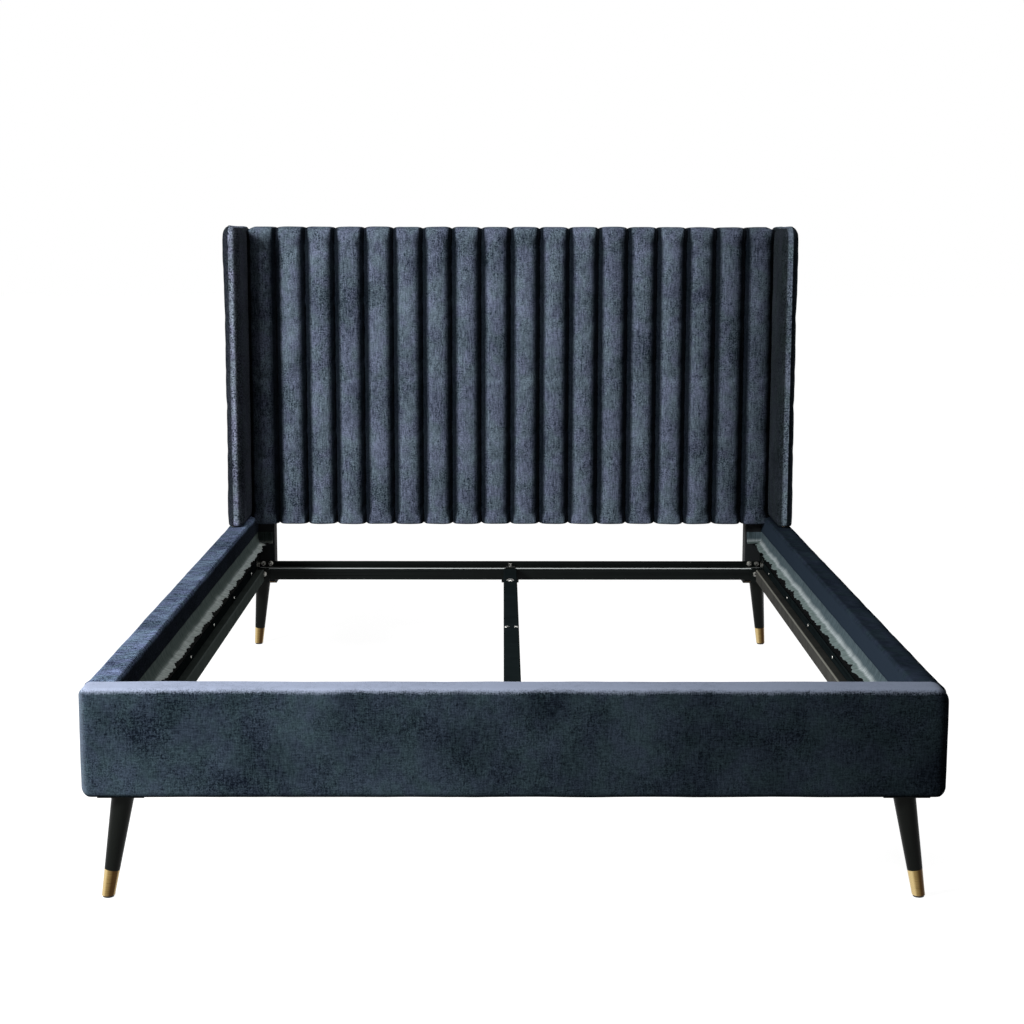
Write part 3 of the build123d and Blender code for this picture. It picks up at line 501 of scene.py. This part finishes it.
# The four corners are rounded as seen from the foot of the bed: each corner square is drawn to an arc.
# The top right corner is the softest.
for corner in foot.data.vertices:
    side = 1 if corner.co.x > 0 else -1
    top_round = 0.03 if side > 0 else 0.017
    for edge_height, outward, end_round in ((foot_low.z, -1, 0.018), (foot_top, 1, top_round)):
        out = (abs(corner.co.x) - foot_side + end_round) / end_round
        past = 1 - abs(corner.co.z - edge_height) / end_round
        if out > 0 and past > 0:
            wide = end_round * out * math.sqrt(max(0, 1 - past ** 2 / 2))
            corner.co.x = side * (foot_side - end_round + wide)
            reach = end_round * past * math.sqrt(max(0, 1 - out * out / 2))
            corner.co.z = edge_height + outward * (reach - end_round)
            break
ripple(foot, 0.12, 0.002)
upholster(foot, foot_velvet, "footboard_cover")


# Side rail covers: velvet over wadding on the outside and top of each plank.
# The velvet turns over the inner edge and is stapled 55 mm down; the plank shows below.
def other_side(piece, name):
    """Copies a finished piece to the left of the bed, with a mesh of its own."""
    twin = piece.copy()
    twin.data = piece.data.copy()
    twin.name = name
    twin.data.name = name
    bpy.context.scene.collection.objects.link(twin)
    twin.data.transform(Matrix.Scale(-1, 4, (1, 0, 0)))
    twin.data.flip_normals()
    return twin


# The two rails are lit and shaded copies of one velvet: the left one painted paler, as lit, the right one
# painted darker, as in shade.
rail_velvet_painted_lit = velvet_finish("crushed_velvet_left_rail_painted_lit", "#0F1B2B", "#97A9C6", (30, 230, 70),
                                 (200, 200, 200), (0.5, 1.1, 0.5, 1.6), 0.22, 0.05, 380)
rail_velvet_painted_shade = velvet_finish("crushed_velvet_right_rail_painted_shade", "#1C242C", "#3A4550", (32, 230, 70),
                                  (70, 70, 70), (0.6, 0.6, 0.3, 0.4), 0.24, 0.0, 260)
rail_low, rail_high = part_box("side_rail_cover_right")
rail_top = rail_high.z
rail_out = rail_high.x + 0.003
# Painted shade on the inner faces: on the left, turned from the light, they are painted black, and on the
# right dark slate. Distance from the middle counts five times as much as height, so the outer faces are
# left out.
off_counts = 5
inner_start = off_counts * rail_low.x + rail_top - top_rim
for rail_velvet, inner_painted_shade in ((rail_velvet_painted_lit, "#04070A"), (rail_velvet_painted_shade, "#2F3A47")):
    rail_places = split_place(rail_velvet)
    rail_off = add_node(rail_velvet, "Math", {0: rail_places[0]}, operation="ABSOLUTE")
    height_and_off = add_node(rail_velvet, "Math", {0: rail_off, 1: off_counts, 2: rail_places[2]},
                              operation="MULTIPLY_ADD")
    lay_over(rail_velvet, height_and_off, inner_painted_shade, inner_start + 0.008, inner_start - 0.003, 0.92)
rail = begin("velvet_rail_right", rail_low, (rail_out, rail_high.y, rail_top))
round_edges(rail, lambda c: c.z > rail_top - touch and c.x > rail_out - touch, top_rim, 4)
round_edges(rail, lambda c: c.z > rail_top - touch and c.x < rail_low.x + touch, top_rim, 4)
round_edges(rail, lambda c: c.z < rail_low.z + touch and c.x > rail_out - touch, bottom_rim, 3)
divide(rail, 1, rail_low.y, rail_high.y, 0.014)
cut(2, [window_bottom] + steps(window_bottom, velvet_edge, 0.013) + [velvet_edge]
    + steps(velvet_edge, rail_top - top_rim, 0.012))
cut(0, steps(rail_low.x + top_rim, rail_out - top_rim, 0.011))
pick_faces(rail, lambda middle, out: out.x < -0.9 and window_bottom < middle.z < velvet_edge)
bpy.ops.mesh.extrude_region_move(TRANSFORM_OT_translate={"value": (window_depth, 0, 0)})
swell(rail, lambda c: c.x < rail_low.x + 0.007 or c.z < rail_low.z + 0.002 or c.y < rail_low.y + 0.004
      or c.y > rail_high.y - 0.004, 0.004)
smooth_out(rail)
rail_left = other_side(rail, "velvet_rail_left")
# The right cover is stuffed fuller on its outside, and rounder on top.
fuller = 0.006
fuller_start = 0.8
fuller_width = 0.03
outer_round = 0.026
for corner in rail.data.vertices:
    out = (corner.co.x - rail_out + outer_round) / outer_round
    past = (corner.co.z - rail_top + outer_round) / outer_round
    if out > 0 and past > 0:
        corner.co.x = rail_out - outer_round + outer_round * out * math.sqrt(max(0, 1 - past * past / 2))
        corner.co.z = rail_top - outer_round + outer_round * past * math.sqrt(max(0, 1 - out * out / 2))
    corner.co.x += fuller * max(0.0, (corner.co.x - fuller_start) / fuller_width)
ripple(rail, 0.1, 0.002)
ripple(rail_left, 0.1, 0.002)
upholster(rail, rail_velvet_painted_shade, "side_rail_cover_right")
upholster(rail_left, rail_velvet_painted_lit, "side_rail_cover_left")

# Channel pad: eighteen upright foam channels under one velvet cover, on the front and top of the panel.
# The cover is sewn through to its backing at each seam, turned over the top, and stapled behind.
channel_velvet = velvet_finish("crushed_velvet_channels", "#29323D", "#919DAE", (60, 60, 330),
                               (240, 240, 40), (0.5, 0.4, 0.7, 1.2), 0.26, 0.16, 300)
# Painted shade: beside each seam the cloth is painted nearly black, where the crease shades it.
painted_seam_shade = add_node(channel_velvet, "Attribute", attribute_name="painted_seam_and_wing_shade").outputs["Fac"]
lay_over(channel_velvet, painted_seam_shade, "#060D14", 0.58, 0.92, 0.93)
# Painted shade: towards the right the cloth is painted darker, as it turns from the light.
pad_low, pad_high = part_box("channel_pad")
lay_over(channel_velvet, split_place(channel_velvet)[0], "#0A0F14", 0.45, pad_high.x, 0.5)
panel_low, panel_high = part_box("headboard_panel")
channel_count = 18
channel_width = (pad_high.x - pad_low.x) / channel_count
seam_depth = 0.028
top_dip = 0.007
pad_front = pad_low.y + 0.004
pad_top = pad_high.z - 0.005
pad_top_round = 0.028
pad_bottom_round = 0.006
pad = begin("velvet_channels", (pad_low.x, pad_front, pad_low.z),
            (pad_low.x + channel_width, panel_low.y, pad_top))
round_edges(pad, lambda c: c.y < pad_front + touch and c.z > pad_top - touch, pad_top_round, 6)
round_edges(pad, lambda c: c.y < pad_front + touch and c.z < pad_low.z + touch, pad_bottom_round, 4)
cut(2, [panel_high.z])
pick_faces(pad, lambda middle, out: out.y > 0.9 and middle.z > panel_high.z)
bpy.ops.mesh.extrude_region_move(TRANSFORM_OT_translate={"value": (0, pad_high.y - panel_low.y, 0)})
across = [0.03, 0.09, 0.18, 0.3, 0.43, 0.57, 0.7, 0.82, 0.91, 0.97]
cut(0, [pad_low.x + channel_width * part for part in across])
divide(pad, 2, pad_low.z + pad_bottom_round, pad_top - pad_top_round, 0.012)
cut(1, [panel_low.y + 0.025, panel_low.y + 0.05])
pick_faces(pad, lambda middle, out: abs(out.x) > 0.9)
bpy.ops.mesh.delete(type="FACE")
bpy.ops.object.mode_set(mode="OBJECT")


def part_way(value, start, end):
    """How far value is on the way from start to end, from 0 to 1."""
    return min(1.0, max(0.0, (value - start) / (end - start)))


def near_rim(height):
    """1 at the top and bottom of the pad and 0 away from them."""
    return max(part_way(height, pad_top - 0.045, pad_top), part_way(height, pad_low.z + 0.03, pad_low.z))


for corner in pad.data.vertices:
    off_crest = abs(2 * (corner.co.x - pad_low.x) / channel_width - 1)
    fall = off_crest ** (3 + 5 * near_rim(corner.co.z))
    forward = part_way(corner.co.y, panel_low.y, pad_front)
    above = part_way(corner.co.z, panel_high.z, pad_top)
    below = part_way(corner.co.z, pad_low.z + 0.04, pad_low.z)
    corner.co.y += seam_depth * fall * forward
    corner.co.z -= top_dip * fall * above
    corner.co.z += 0.001 * fall * below * forward
repeat = pad.modifiers.new("channels", "ARRAY")
repeat.count = channel_count
repeat.use_relative_offset = False
repeat.use_constant_offset = True
repeat.constant_offset_displace = (channel_width, 0, 0)
repeat.use_merge_vertices = True
repeat.merge_threshold = 0.0005
bpy.ops.object.modifier_apply(modifier="channels")
bpy.ops.object.mode_set(mode="EDIT")
bpy.ops.mesh.select_all(action="SELECT")
bpy.ops.mesh.fill_holes(sides=0)
bpy.ops.mesh.select_all(action="SELECT")
bpy.ops.mesh.normals_make_consistent(inside=False)


def on_pad_seam(place):
    """The seams are half a channel's width off the crests."""
    return abs(2 * (((place.x - pad_low.x) / channel_width) % 1.0) - 1) > 0.98


swell(pad, lambda c: on_pad_seam(c) or c.y > panel_low.y - 0.003, 0.006, pressure=6.0, slack=0.02)
bpy.ops.object.mode_set(mode="EDIT")
pick_edges(pad, lambda one, other: on_pad_seam(one) and on_pad_seam(other)
           and max(abs(one.x), abs(other.x)) < pad_high.x - 0.01)
bpy.ops.transform.edge_crease(value=1.0)
smooth_out(pad)
# Painted seam shade: near each seam, and further onto each flank than the crease alone gives, less of it
# near the top and bottom rims.
nearness = pad.data.attributes.new("painted_seam_and_wing_shade", "FLOAT", "POINT")
for at, corner in enumerate(pad.data.vertices):
    part = ((corner.co.x - pad_low.x) / channel_width) % 1.0
    near = abs(2 * part - 1)
    if part < 0.5:
        near += 0.16 * part_way(near, 0.5, 0.67)
    else:
        near += 0.17 * part_way(near, 0.35, 0.5)
    # Painted shadow of the left wing over the lower part of the first channel.
    painted_wing_shadow = 0.0
    if corner.co.x < pad_low.x + channel_width and corner.co.z < pad_top - 0.06:
        painted_wing_shadow = 0.76 if part < 0.45 else 0.6
    nearness.data[at].value = max(near ** (1 + 3 * near_rim(corner.co.z)), painted_wing_shadow)
wing_board_low, wing_board_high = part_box("wing_board_right")


def sink_by_wing(piece, depth):
    """Sinks the top where the pad and a wing meet, so a notch shows there. It stays above the boards."""
    for corner in piece.data.vertices:
        near = max(0.0, 1 - abs(abs(corner.co.x) - pad_high.x) / 0.026)
        over_board = abs(corner.co.x) > wing_board_low.x - 0.006
        lowest = wing_board_high.z + 0.0045 if over_board else panel_high.z + 0.0025
        if corner.co.z > lowest:
            corner.co.z = max(lowest, corner.co.z - depth * near)


sink_by_wing(pad, 0.009)
ripple(pad, 0.09, 0.003)
upholster(pad, channel_velvet, "channel_pad")

# Wing covers: a padded side piece on each side of the headboard, standing on the rail.
# Plywood board with foam on both faces and its front edge, wrapped in velvet.
wing_low, wing_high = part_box("wing_cover_right")
wing_seam = wing_high.x - 0.02
wing_velvets = []
# The left wing's velvet is painted paler than the right one's, as it faces the light.
for side, wing_painted_lit in (("right", "#98A5B0"), ("left", "#D2DAEE")):
    wing_velvet = velvet_finish("crushed_velvet_wing_" + side, "#1F2833", wing_painted_lit, (60, 60, 330),
                                (240, 240, 40), (0.5, 0.35, 0.35, 1.5), 0.26, 0.08, 240)
    wing_off = add_node(wing_velvet, "Math", {0: split_place(wing_velvet)[0]},
                        operation="ABSOLUTE").outputs[0]
    # The outer panel's nap runs the other way, so outside the seam on the front edge it is darker.
    lay_over(wing_velvet, wing_off, "#0B1116", wing_seam - 0.001, wing_seam + 0.001, 0.9)
    # Painted shade on the inner face of each wing.
    lay_over(wing_velvet, wing_off, "#0B0F0D", wing_low.x + 0.015, wing_low.x + 0.009, 0.85)
    wing_velvets.append(wing_velvet)
wing_in = wing_low.x + 0.0005
wing_out = wing_high.x - 0.003
wing_front = wing_low.y + 0.003
wing_top = wing_high.z - 0.007
front_corner = 0.045
wing = begin("velvet_wing_right", (wing_in, wing_front, wing_low.z), (wing_out, wing_high.y, wing_top))
round_edges(wing, lambda c: c.y < wing_front + touch and c.z > wing_top - touch, front_corner, 6)
round_edges(wing, lambda c: c.y > wing_high.y - touch and c.z > wing_top - touch, 0.022, 4)
pick_edges(wing, lambda one, other: abs(one.x - other.x) < touch
           and max(one.z, other.z) >= wing_low.z + touch)
bpy.ops.mesh.bevel(offset=0.019, segments=5, affect="EDGES", clamp_overlap=False)
cut(2, [wing_top - front_corner])
cut(2, steps(wing_low.z, wing_top - front_corner, 0.013))
cut(1, steps(wing_front + 0.02, wing_high.y - 0.02, 0.013))
cut(0, [wing_seam])


def on_wing_seam(place):
    """The seam runs up the front edge of the wing and back along its top."""
    return abs(place.x - wing_seam) < 0.0005 and (place.y < wing_front + 0.02 or place.z > wing_top - 0.02)


swell(wing, lambda c: on_wing_seam(c) or c.z < wing_low.z + 0.004 or c.y > wing_high.y - 0.01, 0.004)
bpy.ops.object.mode_set(mode="EDIT")
pick_edges(wing, lambda one, other: on_wing_seam(one) and on_wing_seam(other))
bpy.ops.transform.edge_crease(value=0.8)
bpy.ops.object.mode_set(mode="OBJECT")
for corner in wing.data.vertices:
    back = part_way(corner.co.y, wing_front + 0.03, pad_low.y)
    corner.co.z -= 0.002 * back ** 2.2 * part_way(corner.co.z, 1.2, 1.3)
smooth_out(wing)
sink_by_wing(wing, 0.012)
wing_left = other_side(wing, "velvet_wing_left")
ripple(wing, 0.1, 0.0025)
ripple(wing_left, 0.1, 0.0025)
upholster(wing, wing_velvets[0], "wing_cover_right")
upholster(wing_left, wing_velvets[1], "wing_cover_left")

# Back of the headboard: a velvet panel pulled flat over thin wadding and stapled to the frame.
# Its nap lies flatter than on the channels, so it has more sheen and less contrast.
back_velvet = velvet_finish("crushed_velvet_back", "#27303C", "#6F7B8D", (60, 60, 330), (240, 240, 40),
                            (0.6, 0.35, 0.35, 1.3), 0.26, 0.3, 240)
back_low, back_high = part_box("headboard_back_cover")
back_rim = 0.008
back_top = back_high.z - 0.009
back = begin("velvet_back", back_low, (back_high.x, back_high.y, back_top))
round_edges(back, lambda c: c.y > back_high.y - touch, back_rim, 3)
cut(0, [back_low.x + back_rim, back_high.x - back_rim])
cut(2, [back_low.z + back_rim, back_top - back_rim])
divide(back, 0, back_low.x + back_rim, back_high.x - back_rim, 0.02)
divide(back, 2, back_low.z + back_rim, back_top - back_rim, 0.02)
smooth_out(back)
sink_by_wing(back, 0.009)
ripple(back, 0.2, 0.002)
upholster(back, back_velvet, "headboard_back_cover")


# Rail linings: a strip of non-woven cloth that hides the velvet's stapled edge inside each rail.
# Stapled along its top, slightly gathered, with a raw lower edge that flares away from the plank.
def raw_waves(seed, shortest, longest):
    """Amount, pitch and start of six waves, for gathers that don't repeat."""
    draw = random.Random(seed)
    return [(draw.uniform(0.4, 1.0), draw.uniform(shortest, longest), draw.uniform(0, math.tau))
            for _ in range(6)]


def wave_sum(waves, place):
    """The waves' mean height at a place along the strip, from -1 to 1."""
    return sum(amount * math.sin(math.tau * place / pitch + start) for amount, pitch,
               start in waves) / len(waves)


def ragged(slow, fine, place):
    """How far the torn edge reaches at a place: scallops about 140 mm long with small notches, 0 to 1."""
    scallop = abs(math.sin(math.pi * place / 0.14 + 1.2 * wave_sum(slow, place)))
    return min(1.0, max(0.0, 0.15 + 0.7 * scallop ** 0.6 + 0.45 * wave_sum(fine, place)))


def lining_finish(name, length, band, flap, fold, fold_highlight_share):
    """Non-woven polypropylene cloth: matt felted fibres, dimpled about 3 mm apart, with painted shade in
    creases every 4 mm. band and flap are its colours above the fold and below it, and fold is a painted
    highlight along it."""
    material, shader = new_finish(name, {"Roughness": 0.9, "Specular IOR Level": 0.1, "Sheen Weight": 0.05,
                                         "Sheen Roughness": 0.5, "Sheen Tint": linear("#C8D6D6")})
    coords = add_node(material, "TexCoord").outputs
    up = add_node(material, "SeparateXYZ", {0: coords["UV"]}).outputs[1]
    across = add_node(material, "Mapping", {"Vector": coords["UV"], "Scale": (length * 250, 1.6, 1)})
    creases = add_node(material, "TexNoise", {"Vector": across, "Scale": 1.0, "Detail": 4.0})
    dimples = add_node(material, "TexNoise", {"Vector": coords["Object"], "Scale": 330.0, "Detail": 2.0})
    worn = add_node(material, "TexNoise", {"Vector": coords["Object"], "Scale": 9.0, "Detail": 3.0})
    wavering = add_node(material, "Math", {0: worn, 1: 0.25, 2: up}, operation="MULTIPLY_ADD").outputs[0]
    below = add_node(material, "MapRange", {"Value": wavering, "From Min": 0.68, "From Max": 0.54})
    tone = add_node(material, "Mix", {0: below, 6: linear(band), 7: linear(flap)}, data_type="RGBA")
    # Painted shade in the creases.
    depth = add_node(material, "MapRange", {"Value": creases, "From Min": 0.34, "From Max": 0.62})
    crease_painted_shade = add_node(material, "Mix", {0: depth, 6: linear("#A9B1AF"), 7: linear("#FFFFFF")},
                      data_type="RGBA")
    creased = add_node(material, "Mix", {0: 0.9, 6: tone, 7: crease_painted_shade}, data_type="RGBA",
                       blend_type="MULTIPLY")
    bump = add_node(material, "Bump", {"Height": dimples, "Strength": 0.3, "Distance": 0.0006})
    feed(material, creased, shader.inputs["Base Color"])
    feed(material, bump, shader.inputs["Normal"])
    # Painted highlight along the fold.
    off_fold = add_node(material, "Math", {0: wavering, 1: 0.62}, operation="SUBTRACT")
    from_fold = add_node(material, "Math", {0: off_fold}, operation="ABSOLUTE")
    near_fold_highlight = add_node(material, "MapRange", {"Value": from_fold, "From Min": 0.2, "From Max": 0.0,
                                              "To Max": fold_highlight_share}, interpolation_type="SMOOTHSTEP")
    patchy = add_node(material, "MapRange", {"Value": creases, "From Min": 0.35, "From Max": 0.6,
                                             "To Min": 0.5})
    painted_fold_highlight = add_node(material, "Math", {0: near_fold_highlight, 1: patchy}, operation="MULTIPLY")
    lay_over(material, painted_fold_highlight, fold)
    return material


lining_top = velvet_edge + 0.001


def hang_lining(name, length, path, seed):
    """A strip stapled along its top edge: it hangs, folds outwards half-way down and ends in a torn flap.
    path gives the point on the carrier and the way off it, in plan, at a distance along the strip."""
    bpy.ops.object.select_all(action="DESELECT")
    columns = round(length / 0.004)
    rows = 14
    bpy.ops.mesh.primitive_grid_add(x_subdivisions=columns, y_subdivisions=rows, size=1)
    strip = bpy.context.object
    strip.name = name
    strip.data.name = name
    gathers = raw_waves(seed, 0.014, 0.06)
    swags = raw_waves(seed + 1, 0.06, 0.2)
    slow = raw_waves(seed + 2, 0.2, 0.6)
    fine = raw_waves(seed + 3, 0.02, 0.05)
    for corner in strip.data.vertices:
        place = (corner.co.x + 0.5) * length
        down = 0.5 - corner.co.y
        ridge = min(1.0, down / 0.5)
        flap = max(0.0, (down - 0.5) / 0.5)
        torn = ragged(slow, fine, place)
        on_carrier, off_carrier, room = path(place)
        out = 0.012 * ridge ** 2 + (0.01 + 0.009 * torn) * flap ** 1.1
        out += (0.0012 * wave_sum(gathers, place) + 0.003 * wave_sum(swags, place)) * (ridge + flap)
        fallen = 0.027 * ridge + (0.002 + 0.005 * torn) * flap
        corner.co = on_carrier + off_carrier * max(0.0, out) * room + Vector((0, 0, lining_top - fallen))
    return strip


def thicken(piece, thickness, offset):
    """Gives a sheet its thickness, half on each side for an offset of 0 and all inside for one of -1."""
    thick = piece.modifiers.new("cloth_thickness", "SOLIDIFY")
    thick.thickness = thickness
    thick.offset = offset
    bpy.ops.object.modifier_apply(modifier="cloth_thickness")


def finish_lining(strip, cloth, replaced):
    """Gives a strip its thickness and cloth, fixes it to the bed and hides the CAD node it replaces."""
    thicken(strip, 0.0006, 0)
    bpy.ops.object.shade_smooth()
    strip.data.materials.append(cloth)
    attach(strip, "bed")
    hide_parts(replaced)


# Painted light: each side's band, flap and fold are toned for the light there, so on the left the raw edge
# is painted palest, and on the right the fold carries a painted highlight.
lining_painted_tones = {"right": ("#55646B", "#7F8E8D", "#BEC8CA", 0.9),
                "left": ("#56625F", "#DDE6E3", "#8E9997", 0.3)}
turned_in = 0.045
for side, sign, seed in (("right", 1, 11), ("left", -1, 23)):
    strip_low, strip_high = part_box("rail_lining_" + side)
    straight = strip_high.y - strip_low.y

    def along_rail(place):
        """Along the rail, and at the head of the bed inwards across the front of the post's sleeve."""
        past = place - straight
        room = 1 - 0.8 * math.exp(-(past / 0.03) ** 2)
        if past < 0:
            return Vector((sign * 0.7722, strip_low.y + place, 0)), Vector((-sign, 0, 0)), room
        return Vector((sign * (0.7705 - past), strip_high.y - 0.001, 0)), Vector((0, -1, 0)), room

    length = straight + turned_in
    lining = hang_lining("lining_rail_" + side, length, along_rail, seed)
    if sign > 0:
        lining.data.flip_normals()
    lining_cloth = lining_finish("grey_nonwoven_lining_" + side, length, *lining_painted_tones[side])
    finish_lining(lining, lining_cloth, "rail_lining_" + side)

# Footboard lining: the same cloth across the back of the footboard, between the rails.
# Stapled and torn like the strips on the rails.
foot_strip_low, foot_strip_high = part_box("footboard_lining")


def along_footboard(place):
    """Straight across the back of the footboard."""
    return Vector((foot_strip_low.x + place, foot_high.y - 0.0022, 0)), Vector((0, 1, 0)), 1.0


strip_length = foot_strip_high.x - foot_strip_low.x
foot_lining = hang_lining("lining_footboard", strip_length, along_footboard, 31)
foot_lining.data.flip_normals()
lining_cloth = lining_finish("grey_nonwoven_lining_footboard", strip_length, *lining_painted_tones["right"])
finish_lining(foot_lining, lining_cloth, "footboard_lining")

# Post sleeves: black cloth wrapped round the foot of each headboard post, where it shows under the pad.
# Cut from one piece, lapped at the back and stapled, so it sits close with slight creases.
# Plain weave, drawn with threads about 2 mm apart so that they show.
black_cloth = grained_finish("black_woven_cloth",
                             {"Roughness": 0.85, "Specular IOR Level": 0.2, "Sheen Weight": 0.15,
                              "Sheen Roughness": 0.5}, "#0E1012", "#1D2124", (420, 420, 420), 3.0,
                             relief=(0.4, 0.0005))[0]
sleeve_low, sleeve_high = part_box("post_sleeve_right")
sleeve_corner = 0.004
sleeve = begin("sleeve_post_right", sleeve_low, sleeve_high)
pick_edges(sleeve, lambda one, other: abs(one.z - other.z) > 0.1)
bpy.ops.mesh.bevel(offset=sleeve_corner, segments=3, affect="EDGES")
pick_faces(sleeve, lambda middle, out: abs(out.z) > 0.9)
bpy.ops.mesh.delete(type="FACE")
cut(2, steps(sleeve_low.z, sleeve_high.z, 0.008))
cut(1, steps(sleeve_low.y + sleeve_corner, sleeve_high.y - sleeve_corner, 0.009))
cut(0, steps(sleeve_low.x + sleeve_corner, sleeve_high.x - sleeve_corner, 0.01))
bpy.ops.object.mode_set(mode="OBJECT")
thicken(sleeve, 0.0008, -1)
smooth_out(sleeve)
sleeve_left = other_side(sleeve, "sleeve_post_left")
for wrap, side in ((sleeve, "right"), (sleeve_left, "left")):
    wrap.data.materials.append(black_cloth)
    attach(wrap, "bed")
    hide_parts("post_sleeve_" + side)


# Studio: a pale floor, a white surround, a large soft light at the front left as in a catalogue picture,
# and two weak ones that show the top and the right side.
def seen_directly(owner):
    """1 for rays from the camera or off a shiny or through a clear surface, and 0 for the others."""
    rays = add_node(owner, "LightPath").outputs
    glossy = add_node(owner, "Math", {0: rays["Is Camera Ray"], 1: rays["Is Glossy Ray"]},
                      operation="MAXIMUM")
    return add_node(owner, "Math", {0: glossy, 1: rays["Is Transmission Ray"]},
                    operation="MAXIMUM").outputs[0]


bpy.ops.object.select_all(action="DESELECT")
bpy.ops.mesh.primitive_plane_add(size=60, location=(0, 0, 0))
floor = bpy.context.object
floor.name = "studio_floor"
floor_white, floor_shader = new_finish("white_studio_floor",
                                       {"Roughness": 0.9, "Specular IOR Level": 0.1,
                                        "Base Color": linear("#8A8A8A"),
                                        "Emission Color": linear("#FFFFFF")})
floor_glow = add_node(floor_white, "Math", {0: seen_directly(floor_white), 1: 0.96}, operation="MULTIPLY")
feed(floor_white, floor_glow, floor_shader.inputs["Emission Strength"])
floor.data.materials.append(floor_white)

surround = bpy.data.worlds.new("white_surround")
bpy.context.scene.world = surround
surround.use_nodes = True
sky = surround.node_tree.nodes["Background"]
sky.inputs["Color"].default_value = (1, 1, 1, 1)
sky_strength = add_node(surround, "MapRange", {"Value": seen_directly(surround), "To Min": 0.045,
                                               "To Max": 1.0})
feed(surround, sky_strength, sky.inputs["Strength"])


def soft_light(name, place, target, size, power):
    """A square soft box at place, turned to face target."""
    lamp = bpy.data.lights.new(name, "AREA")
    lamp.shape = "SQUARE"
    lamp.size = size
    lamp.energy = power
    box = bpy.data.objects.new(name, lamp)
    bpy.context.scene.collection.objects.link(box)
    box.location = place
    box.rotation_euler = (Vector(target) - Vector(place)).to_track_quat("-Z", "Y").to_euler()


soft_light("key_soft_box", (-2.75, -2.45, 2.1), (0.0, 0.2, 0.6), 0.9, 167)
soft_light("overhead_fill", (0.4, 0.0, 3.2), (0.0, 0.0, 0.4), 2.0, 24)
# A low box behind the right rear corner, under the level of the rails, shows the outer right side.
soft_light("low_side_fill", (1.9, 1.5, 0.15), (0.83, 0.3, 0.6), 0.3, 9)

# A black flag on the right, out of the picture, takes the light from the right sides and gives the metal
# a dark edge there.
bpy.ops.object.select_all(action="DESELECT")
bpy.ops.mesh.primitive_plane_add(size=1, location=(2.0, -1.2, 1.0), rotation=(0, math.pi / 2, 0))
flag = bpy.context.object
flag.name = "black_flag"
flag.scale = (2.0, 5.6, 1.0)
bpy.ops.object.transform_apply(location=True, rotation=True, scale=True)
flag.visible_camera = False
flag_black = new_finish("black_flag_cloth", {"Roughness": 1.0, "Specular IOR Level": 0.0,
                                             "Base Color": linear("#0A0A0A")})[0]
flag.data.materials.append(flag_black)

# Camera: level with the top of the headboard, looking straight up the bed from its foot.
camera_data = bpy.data.cameras.new("catalogue_camera")
camera_data.lens = 65.4
camera_data.sensor_width = 36.0
camera = bpy.data.objects.new("catalogue_camera", camera_data)
bpy.context.scene.collection.objects.link(camera)
camera_yaw = 0.0049
camera_pitch = 0.1528
camera_roll = 0.0015
camera.location = (-0.0219, -4.5719, 1.2933)
camera.rotation_euler = (Matrix.Rotation(-camera_yaw, 3, "Z")
                         @ Matrix.Rotation(math.pi / 2 - camera_pitch, 3, "X")
                         @ Matrix.Rotation(camera_roll, 3, "Z")).to_euler()
bpy.context.scene.camera = camera
bpy.context.scene.view_settings.view_transform = "Standard"
